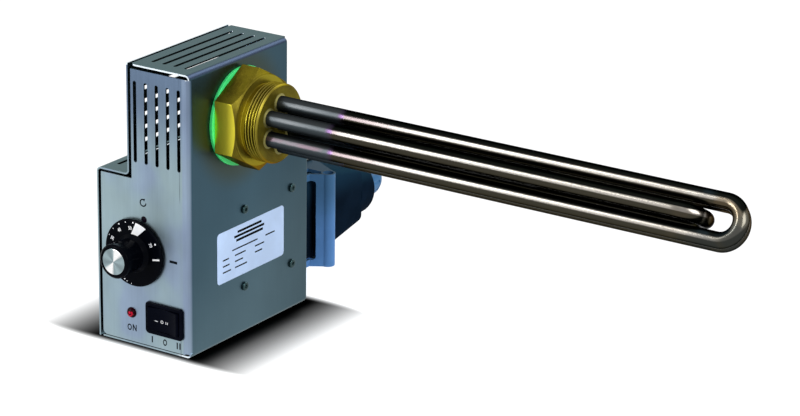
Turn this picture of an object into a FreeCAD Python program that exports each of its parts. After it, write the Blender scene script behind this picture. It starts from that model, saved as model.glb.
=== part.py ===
import FreeCAD, Part
import math
import os

# Screw-in heating rod: a stepped terminal box of folded stainless sheet, a brass screw plug
# with three heating loops, a control face and a heavy-duty plug connector behind.
# Lengths are in millimetres. The origin lies on the plug's axis, halfway along its thread.
# +X points along the loops into the tank, -Y is the control face and +Z is up.

# Terminal box
box_width = 69.0
tower_width = 46.0
box_depth = 120.0
tower_depth = 99.0
box_height = 175.0
step_height = 107.0
sheet = 1.0
bend_radius = 3.0
seam = 2.0
step_seam = 1.5
panel_top_gap = 3.0
panel_bottom_gap = 0.5
corner_relief_width = 4.4
corner_relief_height = 2.2
lip_width = 11.0
lip_gap = 0.2
lip_end_gap = 8.0
base_lip_start = 12.0
base_lip_length = 24.0
cover_screw_inset = 18.0
plug_from_front = 49.0
plug_below_top = 36.0

# Vent slots
slot_width = 2.4
slot_pitch = 8.0
slot_edge = 10.0
front_slot_count = 5
front_slot_length = 50.0
front_slot_top = 10.0
front_slot_side = 8.0
top_slot_count = 4
top_slot_side = 10.5
side_slot_count = 6
side_slot_above_step = 9.0
step_slot_count = 2
step_slot_side = 7.0

# Screw plug and its seals
gasket_thickness = 2.0
gasket_radius = 30.0
hex_width = 55.0
hex_length = 14.7
hex_chamfer_radius = 27.2
hex_chamfer_angle = 30.0
groove_length = 3.2
groove_radius = 22.1
thread_radius = 23.9
thread_length = 8.4
thread_chamfer = 1.0
spigot_radius = 20.0
spigot_clearance = 0.2
nut_width = 50.0
nut_thickness = 5.0
spigot_end = 1.5

# Heating loops
rod_radius = 4.7
rod_pitch_radius = 12.7
braze_gap = 0.05
front_loop_reach = 312.2
rear_loop_reach = 307.7
inner_loop_reach = 287.1
rod_inner_length = 16.5
bead_length = 4.0
bead_radius = 3.6
terminal_radius = 1.5
terminal_length = 9.0
pocket_radius = 3.5
pocket_wall = 0.6
pocket_reach = 180.0
pocket_tail = 6.0

# Control dial and thermostat
dial_from_side = 40.5
dial_above_base = 59.0
dial_radius = 21.0
dial_thickness = 2.4
dial_gap = 0.6
dial_body_radius = 10.6
dial_waist_radius = 9.8
dial_length = 21.0
dial_root = 2.5
dial_rim = 1.1
cap_radius = 8.1
cap_thickness = 0.8
cap_edge = 0.25
cap_clearance = 0.1
spindle_radius = 3.0
spindle_clearance = 0.05
thermostat_width = 34.0
thermostat_height = 40.0
thermostat_depth = 22.0
thermostat_frame = 1.2
thermostat_frame_rise = 8.0
spindle_depth = 9.0
bushing_radius = 5.0
tab_width = 6.2
tab_thickness = 0.8
tab_length = 8.0
thermostat_tab_pitch = 9.0

# Reset button and temperature limiter
reset_from_side = 34.2
reset_above_base = 80.5
reset_hole_radius = 2.1
reset_radius = 1.75
reset_recess = 0.6
reset_length = 14.0
reset_travel = 2.0
reset_clearance = 0.05
reset_end_gap = 0.5
limiter_width = 24.0
limiter_height = 16.0
limiter_depth = 26.0
limiter_flange_radius = 6.0
limiter_flange = 2.0
limiter_drop = 4.0
limiter_tab_pitch = 12.0
limiter_tab_rise = 6.4

# Pilot lamp
lamp_from_side = 44.2
lamp_above_base = 19.8
lamp_radius = 3.1
lamp_rim_radius = 3.6
lamp_rim = 0.6
lamp_dome_drop = 0.4
lamp_neck = 4.0
lamp_holder_wall = 1.1
lamp_depth = 16.0
lamp_pin_pitch = 3.2
lamp_pin_width = 2.8

# Rocker switch
switch_from_side = 19.3
switch_above_base = 20.0
switch_frame_width = 27.5
switch_frame_height = 20.2
switch_frame_thickness = 1.6
switch_corner = 2.6
switch_edge = 0.7
switch_body_corner = 0.8
switch_body_width = 24.6
switch_body_height = 16.6
switch_body_depth = 20.0
rocker_width = 22.4
rocker_height = 14.4
rocker_gap = 0.35
rocker_proud = 3.4
rocker_dip = 1.9
rocker_pivot_depth = 0.6
rocker_skirt = 2.0
rocker_foot = 5.0
rocker_foot_width = 8.0
rocker_foot_gap = 1.5
rocker_pivot_radius = 1.2
rocker_trunnion = 0.5
switch_tab_pitch = 7.4
switch_row_pitch = 8.0
switch_tab_width = 4.8
pivot_clearance = 0.05

# Contactor and terminals inside
contactor_depth = 34.0
contactor_height = 56.0
contactor_side_gap = 3.5
contactor_step = 12.0
contactor_back_share = 0.7
contactor_well_radius = 2.6
contactor_well_depth = 4.0
contactor_well_count = 4
bracket_edge = 6.0
bracket_thickness = 1.5
face_screw_spacing_y = 48.6
face_screw_spacing_z = 49.0
face_screw_rear_inset = 18.2
face_screw_low = 30.0
screw_radius = 1.5
screw_head_radius = 2.7
screw_head_height = 1.5
screw_length = 7.0
screw_clearance = 0.15
screw_slot_share = 0.42
terminal_count = 5
terminal_pitch = 6.2
terminal_depth = 28.0
terminal_height = 22.0
terminal_shelf = 13.2
terminal_side_gap = 8.0
terminal_rear_gap = 12.0
terminal_ridge_inset = 8.0
terminal_well_inset = 4.0
terminal_well_radius = 1.8
terminal_well_depth = 5.0
stud_from_cover = 12.0
stud_from_front = 60.0
stud_length = 14.0
stud_collar_radius = 4.0
stud_collar_height = 2.0
washer_radius = 4.4
washer_thickness = 1.0
stud_radius = 2.0
stud_nut_width = 7.0
stud_nut_thickness = 3.2

# Rear connector
socket_centre_height = 42.6
socket_width = 34.0
socket_length = 56.0
socket_depth = 28.8
socket_wall = 3.0
socket_corner = 5.0
flange_width = 41.0
flange_length = 78.0
flange_thickness = 4.0
flange_hole_width = 30.0
flange_hole_length = 68.0
flange_gasket_thickness = 1.2
flange_gasket_inset = 1.0
cutout_width = 24.0
cutout_length = 48.0
cutout_corner = 2.0
hood_width = 37.0
hood_length = 56.0
hood_foot_depth = 6.0
hood_end_width = 37.6
hood_end_length = 38.0
hood_depth = 51.0
hood_corner = 6.0
hood_end_corner = 6.5
hood_wall = 3.0
hood_collar_radius = 19.2
hood_collar_depth = 17.0
hood_collar_edge = 4.0
hood_joint_gap = 0.3
insert_clearance = 0.1
insert_depth = 15.0
insert_flange = 2.0
hood_insert_gap = 0.6
hood_insert_step = 2.0
contact_rows = 3
contact_pitch = 9.0
contact_column = 6.0
contact_radius = 1.5
contact_reach = 12.0
contact_clearance = 0.3
contact_engaged = 7.2

# Locking lever
lever_pivot_above_joint = 15.0
lever_peg_distance = 27.0
peg_radius = 3.0
peg_clearance = 0.35
peg_proud = 0.4
pin_radius = 3.0
pin_clearance = 0.05
pin_head_radius = 4.6
pin_head_thickness = 1.0
pin_boss_radius = 5.5
pin_root = 4.0
lever_gap = 0.35
lever_arm_thickness = 2.2
lever_hub_radius = 7.5
lever_hook_radius = 33.5
lever_hook_angle = 22.0
lever_hook_width = 24.0
lever_apron_gap = 0.6
lever_apron_end = 36.0
lever_wall = 1.4
lever_flare_angle = 33.4
lever_flare_offset = 3.6
lever_bead_offset = 26.6
lever_bead_setback = 12.5
lever_bead_radius = 4.5
lever_bead_wall = 1.1
lever_web_edge = 1.0
lever_window_length = 52.0
lever_window_reach = 22.3
lever_window_start = 1.5
lever_window_corner = 2.0

# Cable gland
gland_nut_length = 15.0
gland_nut_radius = 12.0
gland_thread_radius = 9.6
gland_body_length = 4.0
gland_thread_inside = 8.0
gland_bore_depth = 25.0
gland_thread_outside = 6.0
gland_nut_wall = 2.0
gland_nut_overlap = 0.6
gland_mouth_gap = 0.6
gland_dome = 4.0
gland_grip_count = 12
gland_grip_radius = 1.7
gland_grip_depth = 0.4
cable_bore_radius = 6.0
seal_radius = 8.4
seal_length = 10.0

# Places worked out from the sizes above
shoulder_x = -thread_length / 2 - groove_length
hex_back_x = shoulder_x - hex_length
right = hex_back_x - gasket_thickness
left = right - box_width
tower_left = right - tower_width
front = -plug_from_front
rear = front + box_depth
tower_rear = front + tower_depth
top = plug_below_top
base = top - box_height
step_top = base + step_height
end_face_x = thread_length / 2 + thread_chamfer
inner_right = right - sheet
nut_face_x = inner_right - nut_thickness
rod_inner_x = right - rod_inner_length
bead_end_x = rod_inner_x - bead_length
lower_flange_depth = box_width - sheet - seam
tower_flange_depth = tower_width - sheet - seam
socket_x = right - box_width / 2
socket_z = base + socket_centre_height


def vec(x, y, z):
    return FreeCAD.Vector(x, y, z)


def block(x0, x1, y0, y1, z0, z1):
    corner = vec(min(x0, x1), min(y0, y1), min(z0, z1))
    return Part.makeBox(abs(x1 - x0), abs(y1 - y0), abs(z1 - z0), corner)


def rod(radius, start, end):
    path = end - start
    return Part.makeCylinder(radius, path.Length, start, path)


def tube(outer, inner, start, end):
    return rod(outer, start, end).cut(rod(inner, start, end))


def polygon_face(points):
    return Part.Face(Part.makePolygon(points + [points[0]]))


def hexagon(width, start, length):
    # Prism along +X with two of its flats facing along Y
    radius = width / math.sqrt(3)
    points = []
    for index in range(6):
        angle = math.radians(30 + 60 * index)
        points.append(start + vec(0, radius * math.cos(angle), radius * math.sin(angle)))
    return polygon_face(points).extrude(vec(length, 0, 0))


def turned(profile, start, axis):
    # profile: points of (distance along the axis, radius), closed on the axis or as a ring
    side = vec(0, 0, 1)
    points = [start + axis * along + side * radius for along, radius in profile]
    return polygon_face(points).revolve(start, axis, 360)


def rounded_block(centre, size_x, size_z, y0, y1, corner):
    # Block with its four edges along Y rounded
    x0 = centre.x - size_x / 2
    z0 = centre.z - size_z / 2
    shape = block(x0, x0 + size_x, y0, y1, z0, z0 + size_z)
    edges = [e for e in shape.Edges if e.Length > 0 and abs(e.tangentAt(e.FirstParameter).y) > 0.99]
    return shape.makeFillet(corner, edges)


def rounded_edges(shape, radius, points, reach=0.05):
    # Fillet the edges that pass through the given points
    chosen = []
    for edge in shape.Edges:
        for point in points:
            if edge.distToShape(Part.Vertex(point))[0] < reach:
                chosen.append(edge)
                break
    return shape.makeFillet(radius, chosen)


def slot_cutter(start, end, width, direction, depth):
    # Slot with round ends from start to end, cut along direction on both sides of its line
    along = end - start
    along.normalize()
    across = along.cross(direction)
    half = width / 2
    inner_start = start + along * half - direction * depth
    inner_end = end - along * half - direction * depth
    corners = [inner_start + across * half, inner_end + across * half,
               inner_end - across * half, inner_start - across * half]
    middle = polygon_face(corners).extrude(direction * (2 * depth))
    first = Part.makeCylinder(half, 2 * depth, inner_start, direction)
    last = Part.makeCylinder(half, 2 * depth, inner_end, direction)
    return middle.fuse([first, last]).removeSplitter()


def bent_flange(corner, outward, along, length, height):
    # Sheet bend and its leg: corner lies where the two outer faces would meet
    inward = vec(-1, 0, 0)
    outer = bend_radius
    inner = bend_radius - sheet
    bow = math.sqrt(0.5)

    def at(u, w):
        return corner + outward * u + inward * w

    outer_arc = Part.Arc(at(-outer, 0), at(-outer + outer * bow, outer - outer * bow), at(0, outer))
    inner_arc = Part.Arc(at(-sheet, outer), at(-outer + inner * bow, outer - inner * bow),
                         at(-outer, sheet))
    edges = [outer_arc.toShape(),
             Part.LineSegment(at(0, outer), at(0, height)).toShape(),
             Part.LineSegment(at(0, height), at(-sheet, height)).toShape(),
             Part.LineSegment(at(-sheet, height), at(-sheet, outer)).toShape(),
             inner_arc.toShape(),
             Part.LineSegment(at(-outer, sheet), at(-outer, 0)).toShape()]
    return Part.Face(Part.Wire(edges)).extrude(along * length)


def rounded_corner(shape, corner, rise):
    # Welded and ground corner where three bent walls meet; rise is +1 at the base and -1 at the roof
    centre = corner + vec(-bend_radius, -bend_radius, rise * bend_radius)
    outside = corner + vec(sheet, sheet, -rise * sheet)
    region = block(centre.x, outside.x, centre.y, outside.y, centre.z, outside.z)
    outer = Part.makeSphere(bend_radius, centre)
    inner = Part.makeSphere(bend_radius - sheet, centre)
    cap = region.common(outer).cut(inner)
    return shape.cut(region).fuse(cap)


def screw(seat, direction, length):
    # Round-headed screw: its head sits on seat and its shank runs along direction
    head = Part.makeCylinder(screw_head_radius, screw_head_height, seat, direction * -1)
    rim = []
    for edge in head.Edges:
        if edge.Closed and edge.CenterOfMass.distanceToPoint(seat) > screw_head_height / 2:
            rim.append(edge)
    head = head.makeFillet(screw_head_height / 2, rim)
    socket_radius = screw_head_radius * screw_slot_share
    head_top = seat - direction * screw_head_height
    socket = Part.makeCylinder(socket_radius, screw_head_height / 2, head_top, direction)
    shank = Part.makeCylinder(screw_radius, length, seat, direction)
    return head.fuse(shank).cut(socket)


def screw_hole(place, direction, depth):
    # Clearance hole that starts outside the sheet and runs along direction
    return rod(screw_radius + screw_clearance, place - direction * sheet, place + direction * depth)


def screws(places, direction, length):
    return Part.makeCompound([screw(place, direction, length) for place in places])


def save(name, shape):
    if not shape.isValid():
        print("invalid shape:", name)
    shape.exportStep("parts/" + name + ".step")
    print(name, len(shape.Solids), "solids", round(shape.Volume, 1), "mm3")


# Front panel openings, also used by the pieces behind it
dial_place = vec(right - dial_from_side, front, base + dial_above_base)
reset_place = vec(right - reset_from_side, front, base + reset_above_base)
lamp_place = vec(right - lamp_from_side, front, base + lamp_above_base)
switch_place = vec(right - switch_from_side, front, base + switch_above_base)
face_screw_places = []
for step_y in (0, -face_screw_spacing_y):
    for step_z in (0, face_screw_spacing_z):
        face_screw_places.append(vec(right, rear - face_screw_rear_inset + step_y,
                                     base + face_screw_low + step_z))
lip_middle = sheet + lip_width / 2
cover_screw_places = [
    vec(left, rear - lip_middle, base + cover_screw_inset),
    vec(left, rear - lip_middle, step_top - cover_screw_inset),
    vec(left, front + base_lip_start + base_lip_length / 2, base + lip_middle),
    vec(tower_left, tower_rear - lip_middle, top - cover_screw_inset),
]
flange_screw_places = []
for side_x in (-1, 1):
    for side_z in (-1, 1):
        flange_screw_places.append(vec(socket_x + side_x * flange_hole_width / 2, rear,
                                       socket_z + side_z * flange_hole_length / 2))


def main_shell():
    # One folded sheet: an L-shaped side plate with a bent flange on each of its six edges
    inset = bend_radius
    outline = [(front + inset, base + inset), (rear - inset, base + inset),
               (rear - inset, step_top - inset), (tower_rear - inset, step_top - inset),
               (tower_rear - inset, top - inset), (front + inset, top - inset)]
    plate = polygon_face([vec(right, y, z) for y, z in outline]).extrude(vec(-sheet, 0, 0))
    up = vec(0, 0, 1)
    back = vec(0, 1, 0)
    low_edge = base + sheet + panel_bottom_gap
    panel = bent_flange(vec(right, front, low_edge), back * -1, up,
                        top - panel_top_gap - low_edge, lower_flange_depth)
    panel = panel.cut(block(left, tower_left + sheet + seam, front - 1, front + 2 * bend_radius,
                            step_top - sheet - step_seam, top))
    panel = panel.cut(block(right - corner_relief_width, right + 1, front - 1, front + bend_radius,
                            base, base + corner_relief_height))
    panel = rounded_edges(panel, bend_radius,
                          [vec(right - lower_flange_depth, front + sheet / 2, low_edge)])
    bottom = bent_flange(vec(right, front, base), up * -1, back, box_depth, lower_flange_depth)
    roof = bent_flange(vec(right, front, top), up, back, tower_depth, tower_flange_depth)
    roof = rounded_edges(roof, bend_radius,
                         [vec(right - tower_flange_depth, front, top - sheet / 2)])
    low_rear = bent_flange(vec(right, rear, base + inset), back, up,
                           step_height - 2 * inset, lower_flange_depth)
    high_rear = bent_flange(vec(right, tower_rear, step_top - inset), back, up,
                            top - step_top, tower_flange_depth)
    shelf = bent_flange(vec(right, tower_rear + lip_gap, step_top), up, back,
                        rear - tower_rear - lip_gap, tower_width - seam / 2)
    rear_edges = [block(right - inset, right - lower_flange_depth, rear - sheet, rear,
                        base + sheet + lip_gap, base + inset),
                  block(right - inset, right - tower_flange_depth, tower_rear - sheet, tower_rear,
                        top - inset, top - sheet - lip_gap)]
    shell = plate.fuse([panel, bottom, roof, low_rear, high_rear, shelf] + rear_edges)
    shell = rounded_corner(shell, vec(right, rear, base), 1)
    shell = rounded_corner(shell, vec(right, tower_rear, top), -1)

    # Return lips that carry the cover's screws
    lip_x = left + sheet + lip_gap
    low_from, low_to = base + lip_end_gap, step_top - lip_end_gap
    high_from, high_to = step_top + lip_end_gap, top - lip_end_gap
    y_from = front + base_lip_start
    y_to = y_from + base_lip_length
    low_wall_x = right - lower_flange_depth + sheet
    high_wall_x = right - tower_flange_depth + sheet
    high_lip_x = tower_left + sheet + lip_gap
    lips = [block(lip_x, lip_x + sheet, rear - sheet - lip_width, rear - sheet, low_from, low_to),
            block(lip_x, low_wall_x, rear - sheet, rear, low_from, low_to),
            block(lip_x, lip_x + sheet, y_from, y_to, base + sheet, base + sheet + lip_width),
            block(lip_x, low_wall_x, y_from, y_to, base, base + sheet),
            block(high_lip_x, high_lip_x + sheet, tower_rear - sheet - lip_width, tower_rear - sheet,
                  high_from, high_to),
            block(high_lip_x, high_wall_x, tower_rear - sheet, tower_rear, high_from, high_to)]
    shell = shell.fuse(lips).removeSplitter()

    # Vent slots
    cutters = []
    for index in range(front_slot_count):
        x = right - front_slot_side - index * slot_pitch
        cutters.append(slot_cutter(vec(x, front, top - front_slot_top),
                                   vec(x, front, top - front_slot_top - front_slot_length),
                                   slot_width, back, bend_radius))
    for index in range(top_slot_count):
        x = right - top_slot_side - index * slot_pitch
        cutters.append(slot_cutter(vec(x, front + slot_edge, top), vec(x, tower_rear - slot_edge, top),
                                   slot_width, up, bend_radius))

    # Openings for the plug, the controls, the connector and the screws
    reach = back * (2 * sheet)
    cutters.append(rod(spigot_radius + spigot_clearance, vec(right + 1, 0, 0), vec(inner_right - 1, 0, 0)))
    cutters.append(rod(bushing_radius + spigot_clearance, dial_place - reach, dial_place + reach))
    cutters.append(rod(reset_hole_radius, reset_place - reach, reset_place + reach))
    cutters.append(rod(lamp_radius + 0.1, lamp_place - reach, lamp_place + reach))
    cutters.append(rounded_block(switch_place, switch_body_width + 0.4, switch_body_height + 0.4,
                                 front - 1, front + 2 * sheet, 0.8))
    cutters.append(rounded_block(vec(socket_x, rear, socket_z), cutout_width, cutout_length,
                                 rear - 2 * sheet, rear + 1, cutout_corner))
    inward = vec(-1, 0, 0)
    for place in face_screw_places:
        cutters.append(screw_hole(place, inward, 2 * sheet))
    for place in cover_screw_places:
        cutters.append(screw_hole(place, inward * -1, 5 * sheet))
    for place in flange_screw_places:
        cutters.append(screw_hole(place, back * -1, 2 * sheet))
    return shell.cut(cutters)


def side_cover():
    # Folded sheet over the open side: lower wall, step and tower wall
    outer = bend_radius
    inner = bend_radius - sheet
    bow = math.sqrt(0.5)
    joint_x = tower_left
    y = front

    def at(x, z):
        return vec(x, y, z)

    def line(a, b):
        return Part.LineSegment(at(*a), at(*b)).toShape()

    def arc(centre, radius, start, end):
        points = []
        for angle in (start, (start + end) / 2, end):
            turn = math.radians(angle)
            points.append(at(centre[0] + radius * math.cos(turn), centre[1] + radius * math.sin(turn)))
        return Part.Arc(*points).toShape()

    high = (left + outer, step_top - outer)
    low = (joint_x - inner, step_top + inner)
    profile = [
        line((left, base), (left, step_top - outer)),
        arc(high, outer, 180, 90),
        line((left + outer, step_top), (joint_x - inner, step_top)),
        arc(low, inner, 270, 360),
        line((joint_x, step_top + inner), (joint_x, top)),
        line((joint_x, top), (joint_x + sheet, top)),
        line((joint_x + sheet, top), (joint_x + sheet, step_top + inner)),
        arc(low, outer, 360, 270),
        line((joint_x - inner, step_top - sheet), (left + outer, step_top - sheet)),
        arc(high, inner, 90, 180),
        line((left + sheet, step_top - outer), (left + sheet, base)),
        line((left + sheet, base), (left, base)),
    ]
    cover = Part.Face(Part.Wire(profile)).extrude(vec(0, box_depth, 0))
    cover = cover.cut(block(joint_x - inner, right, tower_rear, rear + 1, step_top, top + 1))
    cover = cover.cut(block(joint_x - seam / 2, right, tower_rear + lip_gap, rear + 1, base, top + 1))
    cutters = []
    slot_from = front + slot_edge
    slot_to = tower_rear - slot_edge
    for index in range(side_slot_count):
        z = step_top + side_slot_above_step + index * slot_pitch
        cutters.append(slot_cutter(vec(joint_x, slot_from, z), vec(joint_x, slot_to, z),
                                   slot_width, vec(1, 0, 0), bend_radius))
    for index in range(step_slot_count):
        x = joint_x - step_slot_side - index * slot_pitch
        cutters.append(slot_cutter(vec(x, slot_from, step_top), vec(x, slot_to, step_top),
                                   slot_width, vec(0, 0, 1), bend_radius))
    for place in cover_screw_places:
        cutters.append(screw_hole(place, vec(1, 0, 0), 2 * sheet))
    return cover.cut(cutters)


# Angles of the rod ends round the plug, measured from +Y towards +Z
front_loop_angles = (90, 210)
rear_loop_angles = (30, 270)
inner_loop_angles = (150, 330)
all_rod_angles = front_loop_angles + rear_loop_angles + inner_loop_angles


def rod_place(x, angle):
    turn = math.radians(angle)
    return vec(x, rod_pitch_radius * math.cos(turn), rod_pitch_radius * math.sin(turn))


def screw_plug():
    # Hexagon with a turned cone on its corners, a stem that carries the thread and a spigot in the box
    reach = hex_width / math.sqrt(3) + sheet
    slope = math.tan(math.radians(hex_chamfer_angle))
    cone_start = hex_length - (reach - hex_chamfer_radius) * slope
    cone_profile = [(0, 0), (0, reach), (cone_start, reach),
                    (hex_length, hex_chamfer_radius), (hex_length, 0)]
    cone = turned(cone_profile, vec(hex_back_x, 0, 0), vec(1, 0, 0))
    head = hexagon(hex_width, vec(hex_back_x, 0, 0), hex_length).common(cone)
    inside_x = nut_face_x - spigot_end
    thread_start = shoulder_x + groove_length
    middle = (hex_back_x + shoulder_x) / 2
    stem_profile = [(inside_x, 0), (inside_x, spigot_radius), (middle, spigot_radius),
                    (middle, groove_radius), (thread_start, groove_radius),
                    (thread_start, thread_radius),
                    (end_face_x - thread_chamfer, thread_radius),
                    (end_face_x, thread_radius - thread_chamfer), (end_face_x, 0)]
    stem = turned(stem_profile, vec(0, 0, 0), vec(1, 0, 0))
    plug = head.fuse(stem).removeSplitter()
    before_x = inside_x - sheet
    after_x = end_face_x + sheet
    holes = [rod(pocket_radius + braze_gap, vec(before_x, 0, 0), vec(after_x, 0, 0))]
    for angle in all_rod_angles:
        holes.append(rod(rod_radius + braze_gap, rod_place(before_x, angle), rod_place(after_x, angle)))
    return plug.cut(holes)


def heating_loop(angles, reach):
    # Tubular element: two straight legs and a half-round bend
    start = rod_place(rod_inner_x, angles[0])
    end = rod_place(rod_inner_x, angles[1])
    bend = (end - start).Length / 2
    bend_x = reach - bend
    upper = vec(bend_x, start.y, start.z)
    lower = vec(bend_x, end.y, end.z)
    tip = vec(reach, (start.y + end.y) / 2, (start.z + end.z) / 2)
    path = Part.Wire([Part.LineSegment(start, upper).toShape(),
                      Part.Arc(upper, tip, lower).toShape(),
                      Part.LineSegment(lower, end).toShape()])
    section = Part.Wire([Part.Circle(start, vec(1, 0, 0), rod_radius).toShape()])
    return path.makePipeShell([section], True, False)


def ring_group(radius, inner, x_far, x_near):
    # The same ring on each rod end
    rings = []
    for angle in all_rod_angles:
        ring = rod(radius, rod_place(x_far, angle), rod_place(x_near, angle))
        if inner > 0:
            ring = ring.cut(rod(inner, rod_place(x_far, angle), rod_place(x_near, angle)))
        rings.append(ring)
    return Part.makeCompound(rings)


def face_gasket():
    # Flat ring between the hexagon and the box
    return tube(gasket_radius, spigot_radius + spigot_clearance, vec(right, 0, 0), vec(hex_back_x, 0, 0))


def lock_nut():
    nut = hexagon(nut_width, vec(nut_face_x, 0, 0), nut_thickness)
    hole = rod(spigot_radius + braze_gap, vec(nut_face_x - sheet, 0, 0), vec(right, 0, 0))
    return nut.cut(hole)


def sensor_pocket():
    # Closed tube on the plug's axis that takes the thermostat's sensing bulb
    back_x = nut_face_x - pocket_tail
    tip = vec(pocket_reach, 0, 0)
    outer = rod(pocket_radius, vec(back_x, 0, 0), tip)
    outer = outer.fuse(Part.makeSphere(pocket_radius, tip)).removeSplitter()
    return outer.cut(rod(pocket_radius - pocket_wall, vec(back_x, 0, 0), tip))


def control_dial():
    # Turned dial: thin skirt, waisted grip and a recess for the metal cap
    out = vec(0, -1, 0)
    back_y = dial_place + out * dial_gap
    edge = dial_thickness / 3
    waist = dial_thickness + dial_root
    cap_seat = cap_radius + cap_clearance
    profile = [(0, spindle_radius), (0, dial_radius - edge), (edge, dial_radius),
               (dial_thickness - edge, dial_radius), (dial_thickness, dial_radius - edge),
               (dial_thickness, dial_body_radius + dial_root / 2), (waist, dial_waist_radius),
               (dial_length - dial_rim, dial_body_radius), (dial_length, dial_body_radius - dial_rim),
               (dial_length, cap_seat), (dial_length - cap_thickness, cap_seat),
               (dial_length - cap_thickness, spindle_radius)]
    return turned(profile, back_y, out)


def dial_cap():
    out = vec(0, -1, 0)
    start = dial_place + out * (dial_gap + dial_length - cap_thickness)
    profile = [(0, 0), (0, cap_radius), (cap_thickness - cap_edge, cap_radius),
               (cap_thickness, cap_radius - cap_edge), (cap_thickness, 0)]
    return turned(profile, start, out)


def thermostat_spindle():
    start = dial_place + vec(0, spindle_depth, 0)
    return rod(spindle_radius, start, dial_place - vec(0, dial_gap + dial_length - cap_thickness, 0))


def thermostat_body():
    # Mounting plate, round can, threaded bushing for the spindle and three connection tabs
    inner = front + sheet
    x, z = dial_place.x, dial_place.z
    plate_y = inner + thermostat_frame
    back_y = inner + thermostat_depth
    half = thermostat_width / 2
    frame = block(x - half, x + half, inner, plate_y, z - thermostat_height / 2, z + thermostat_frame_rise)
    can = rod(half - thermostat_frame, vec(x, plate_y, z), vec(x, back_y, z))
    bushing = rod(bushing_radius, vec(x, front + sheet / 10, z), vec(x, plate_y, z))
    tabs = []
    for index in (-1, 0, 1):
        tabs.append(flat_tab(vec(x + index * thermostat_tab_pitch, back_y, z), tab_width, tab_thickness))
    bore_end = vec(x, front + spindle_depth + sheet, z)
    bore = rod(spindle_radius + spindle_clearance, vec(x, front - sheet, z), bore_end)
    return frame.fuse([can, bushing] + tabs).cut(bore)


def flat_tab(place, width, height):
    # Blade terminal that stands out along +Y from its place
    return block(place.x - width / 2, place.x + width / 2, place.y, place.y + tab_length,
                 place.z - height / 2, place.z + height / 2)


def limiter_body():
    inner = front + sheet
    x, z = reset_place.x, reset_place.z
    case_y = inner + limiter_flange
    back_y = inner + limiter_depth
    low_z = z - limiter_drop
    flange = rod(limiter_flange_radius, vec(x, inner, z), vec(x, case_y, z))
    case = block(x - limiter_width / 2, x + limiter_width / 2, case_y, back_y, low_z, low_z + limiter_height)
    tabs = []
    for side in (-1, 1):
        place = vec(x + side * limiter_tab_pitch / 2, back_y, z + limiter_tab_rise)
        tabs.append(flat_tab(place, tab_width, tab_thickness))
    bore_end = front + reset_recess + reset_length + reset_travel + reset_end_gap
    bore = rod(reset_radius + reset_clearance, vec(x, front, z), vec(x, bore_end, z))
    return flange.fuse([case] + tabs).cut(bore)


def reset_button():
    start = reset_place + vec(0, reset_recess, 0)
    return rod(reset_radius, start, start + vec(0, reset_length, 0))


def lamp_lens():
    # Domed red lens with a thin rim and a neck through the panel
    out = vec(0, -1, 0)
    rim = rod(lamp_rim_radius, lamp_place, lamp_place + out * lamp_rim)
    dome = Part.makeSphere(lamp_radius, lamp_place - out * lamp_dome_drop)
    dome = dome.common(rod(lamp_rim_radius, lamp_place, lamp_place + out * lamp_rim_radius))
    neck = rod(lamp_radius, lamp_place, lamp_place - out * lamp_neck)
    return rim.fuse([dome, neck]).removeSplitter()


def lamp_holder():
    start = lamp_place + vec(0, sheet, 0)
    neck_end = lamp_place + vec(0, lamp_neck + insert_clearance / 2, 0)
    end = lamp_place + vec(0, lamp_depth, 0)
    sleeve = tube(lamp_radius + lamp_holder_wall, lamp_radius + insert_clearance / 2, start, neck_end)
    back_part = rod(lamp_rim_radius, neck_end, end)
    step = rod(lamp_radius + lamp_holder_wall, neck_end, neck_end + vec(0, sheet / 2, 0))
    pins = []
    for side in (-1, 1):
        pins.append(flat_tab(end + vec(side * lamp_pin_pitch / 2, 0, 0), tab_thickness, lamp_pin_width))
    return sleeve.fuse([step, back_part] + pins).removeSplitter()


rocker_axis = switch_place + vec(0, rocker_pivot_depth, 0)


def switch_housing():
    # Rounded frame on the panel, a body with a well behind it and six blade terminals
    face = front - switch_frame_thickness
    frame = rounded_block(switch_place, switch_frame_width, switch_frame_height, face, front, switch_corner)
    rim = [e for e in frame.Edges if abs(e.CenterOfMass.y - face) < 0.01]
    frame = frame.makeFillet(switch_edge, rim)
    body_end = front + switch_body_depth
    body = rounded_block(switch_place, switch_body_width, switch_body_height, front, body_end,
                         switch_body_corner)
    well_end = rocker_axis.y + rocker_foot + rocker_foot_gap
    well = rounded_block(switch_place, rocker_width + 2 * rocker_gap, rocker_height + 2 * rocker_gap,
                         face - sheet, well_end, switch_edge)
    tabs = []
    for row in (-1, 1):
        for column in (-1, 0, 1):
            place = vec(switch_place.x + column * switch_tab_pitch, body_end,
                        switch_place.z + row * switch_row_pitch / 2)
            tabs.append(flat_tab(place, tab_thickness, switch_tab_width))
    reach = vec(0, 0, rocker_height / 2 + rocker_trunnion + pivot_clearance)
    bearing = rod(rocker_pivot_radius + pivot_clearance, rocker_axis - reach, rocker_axis + reach)
    return frame.fuse([body] + tabs).cut([well, bearing])


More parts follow.
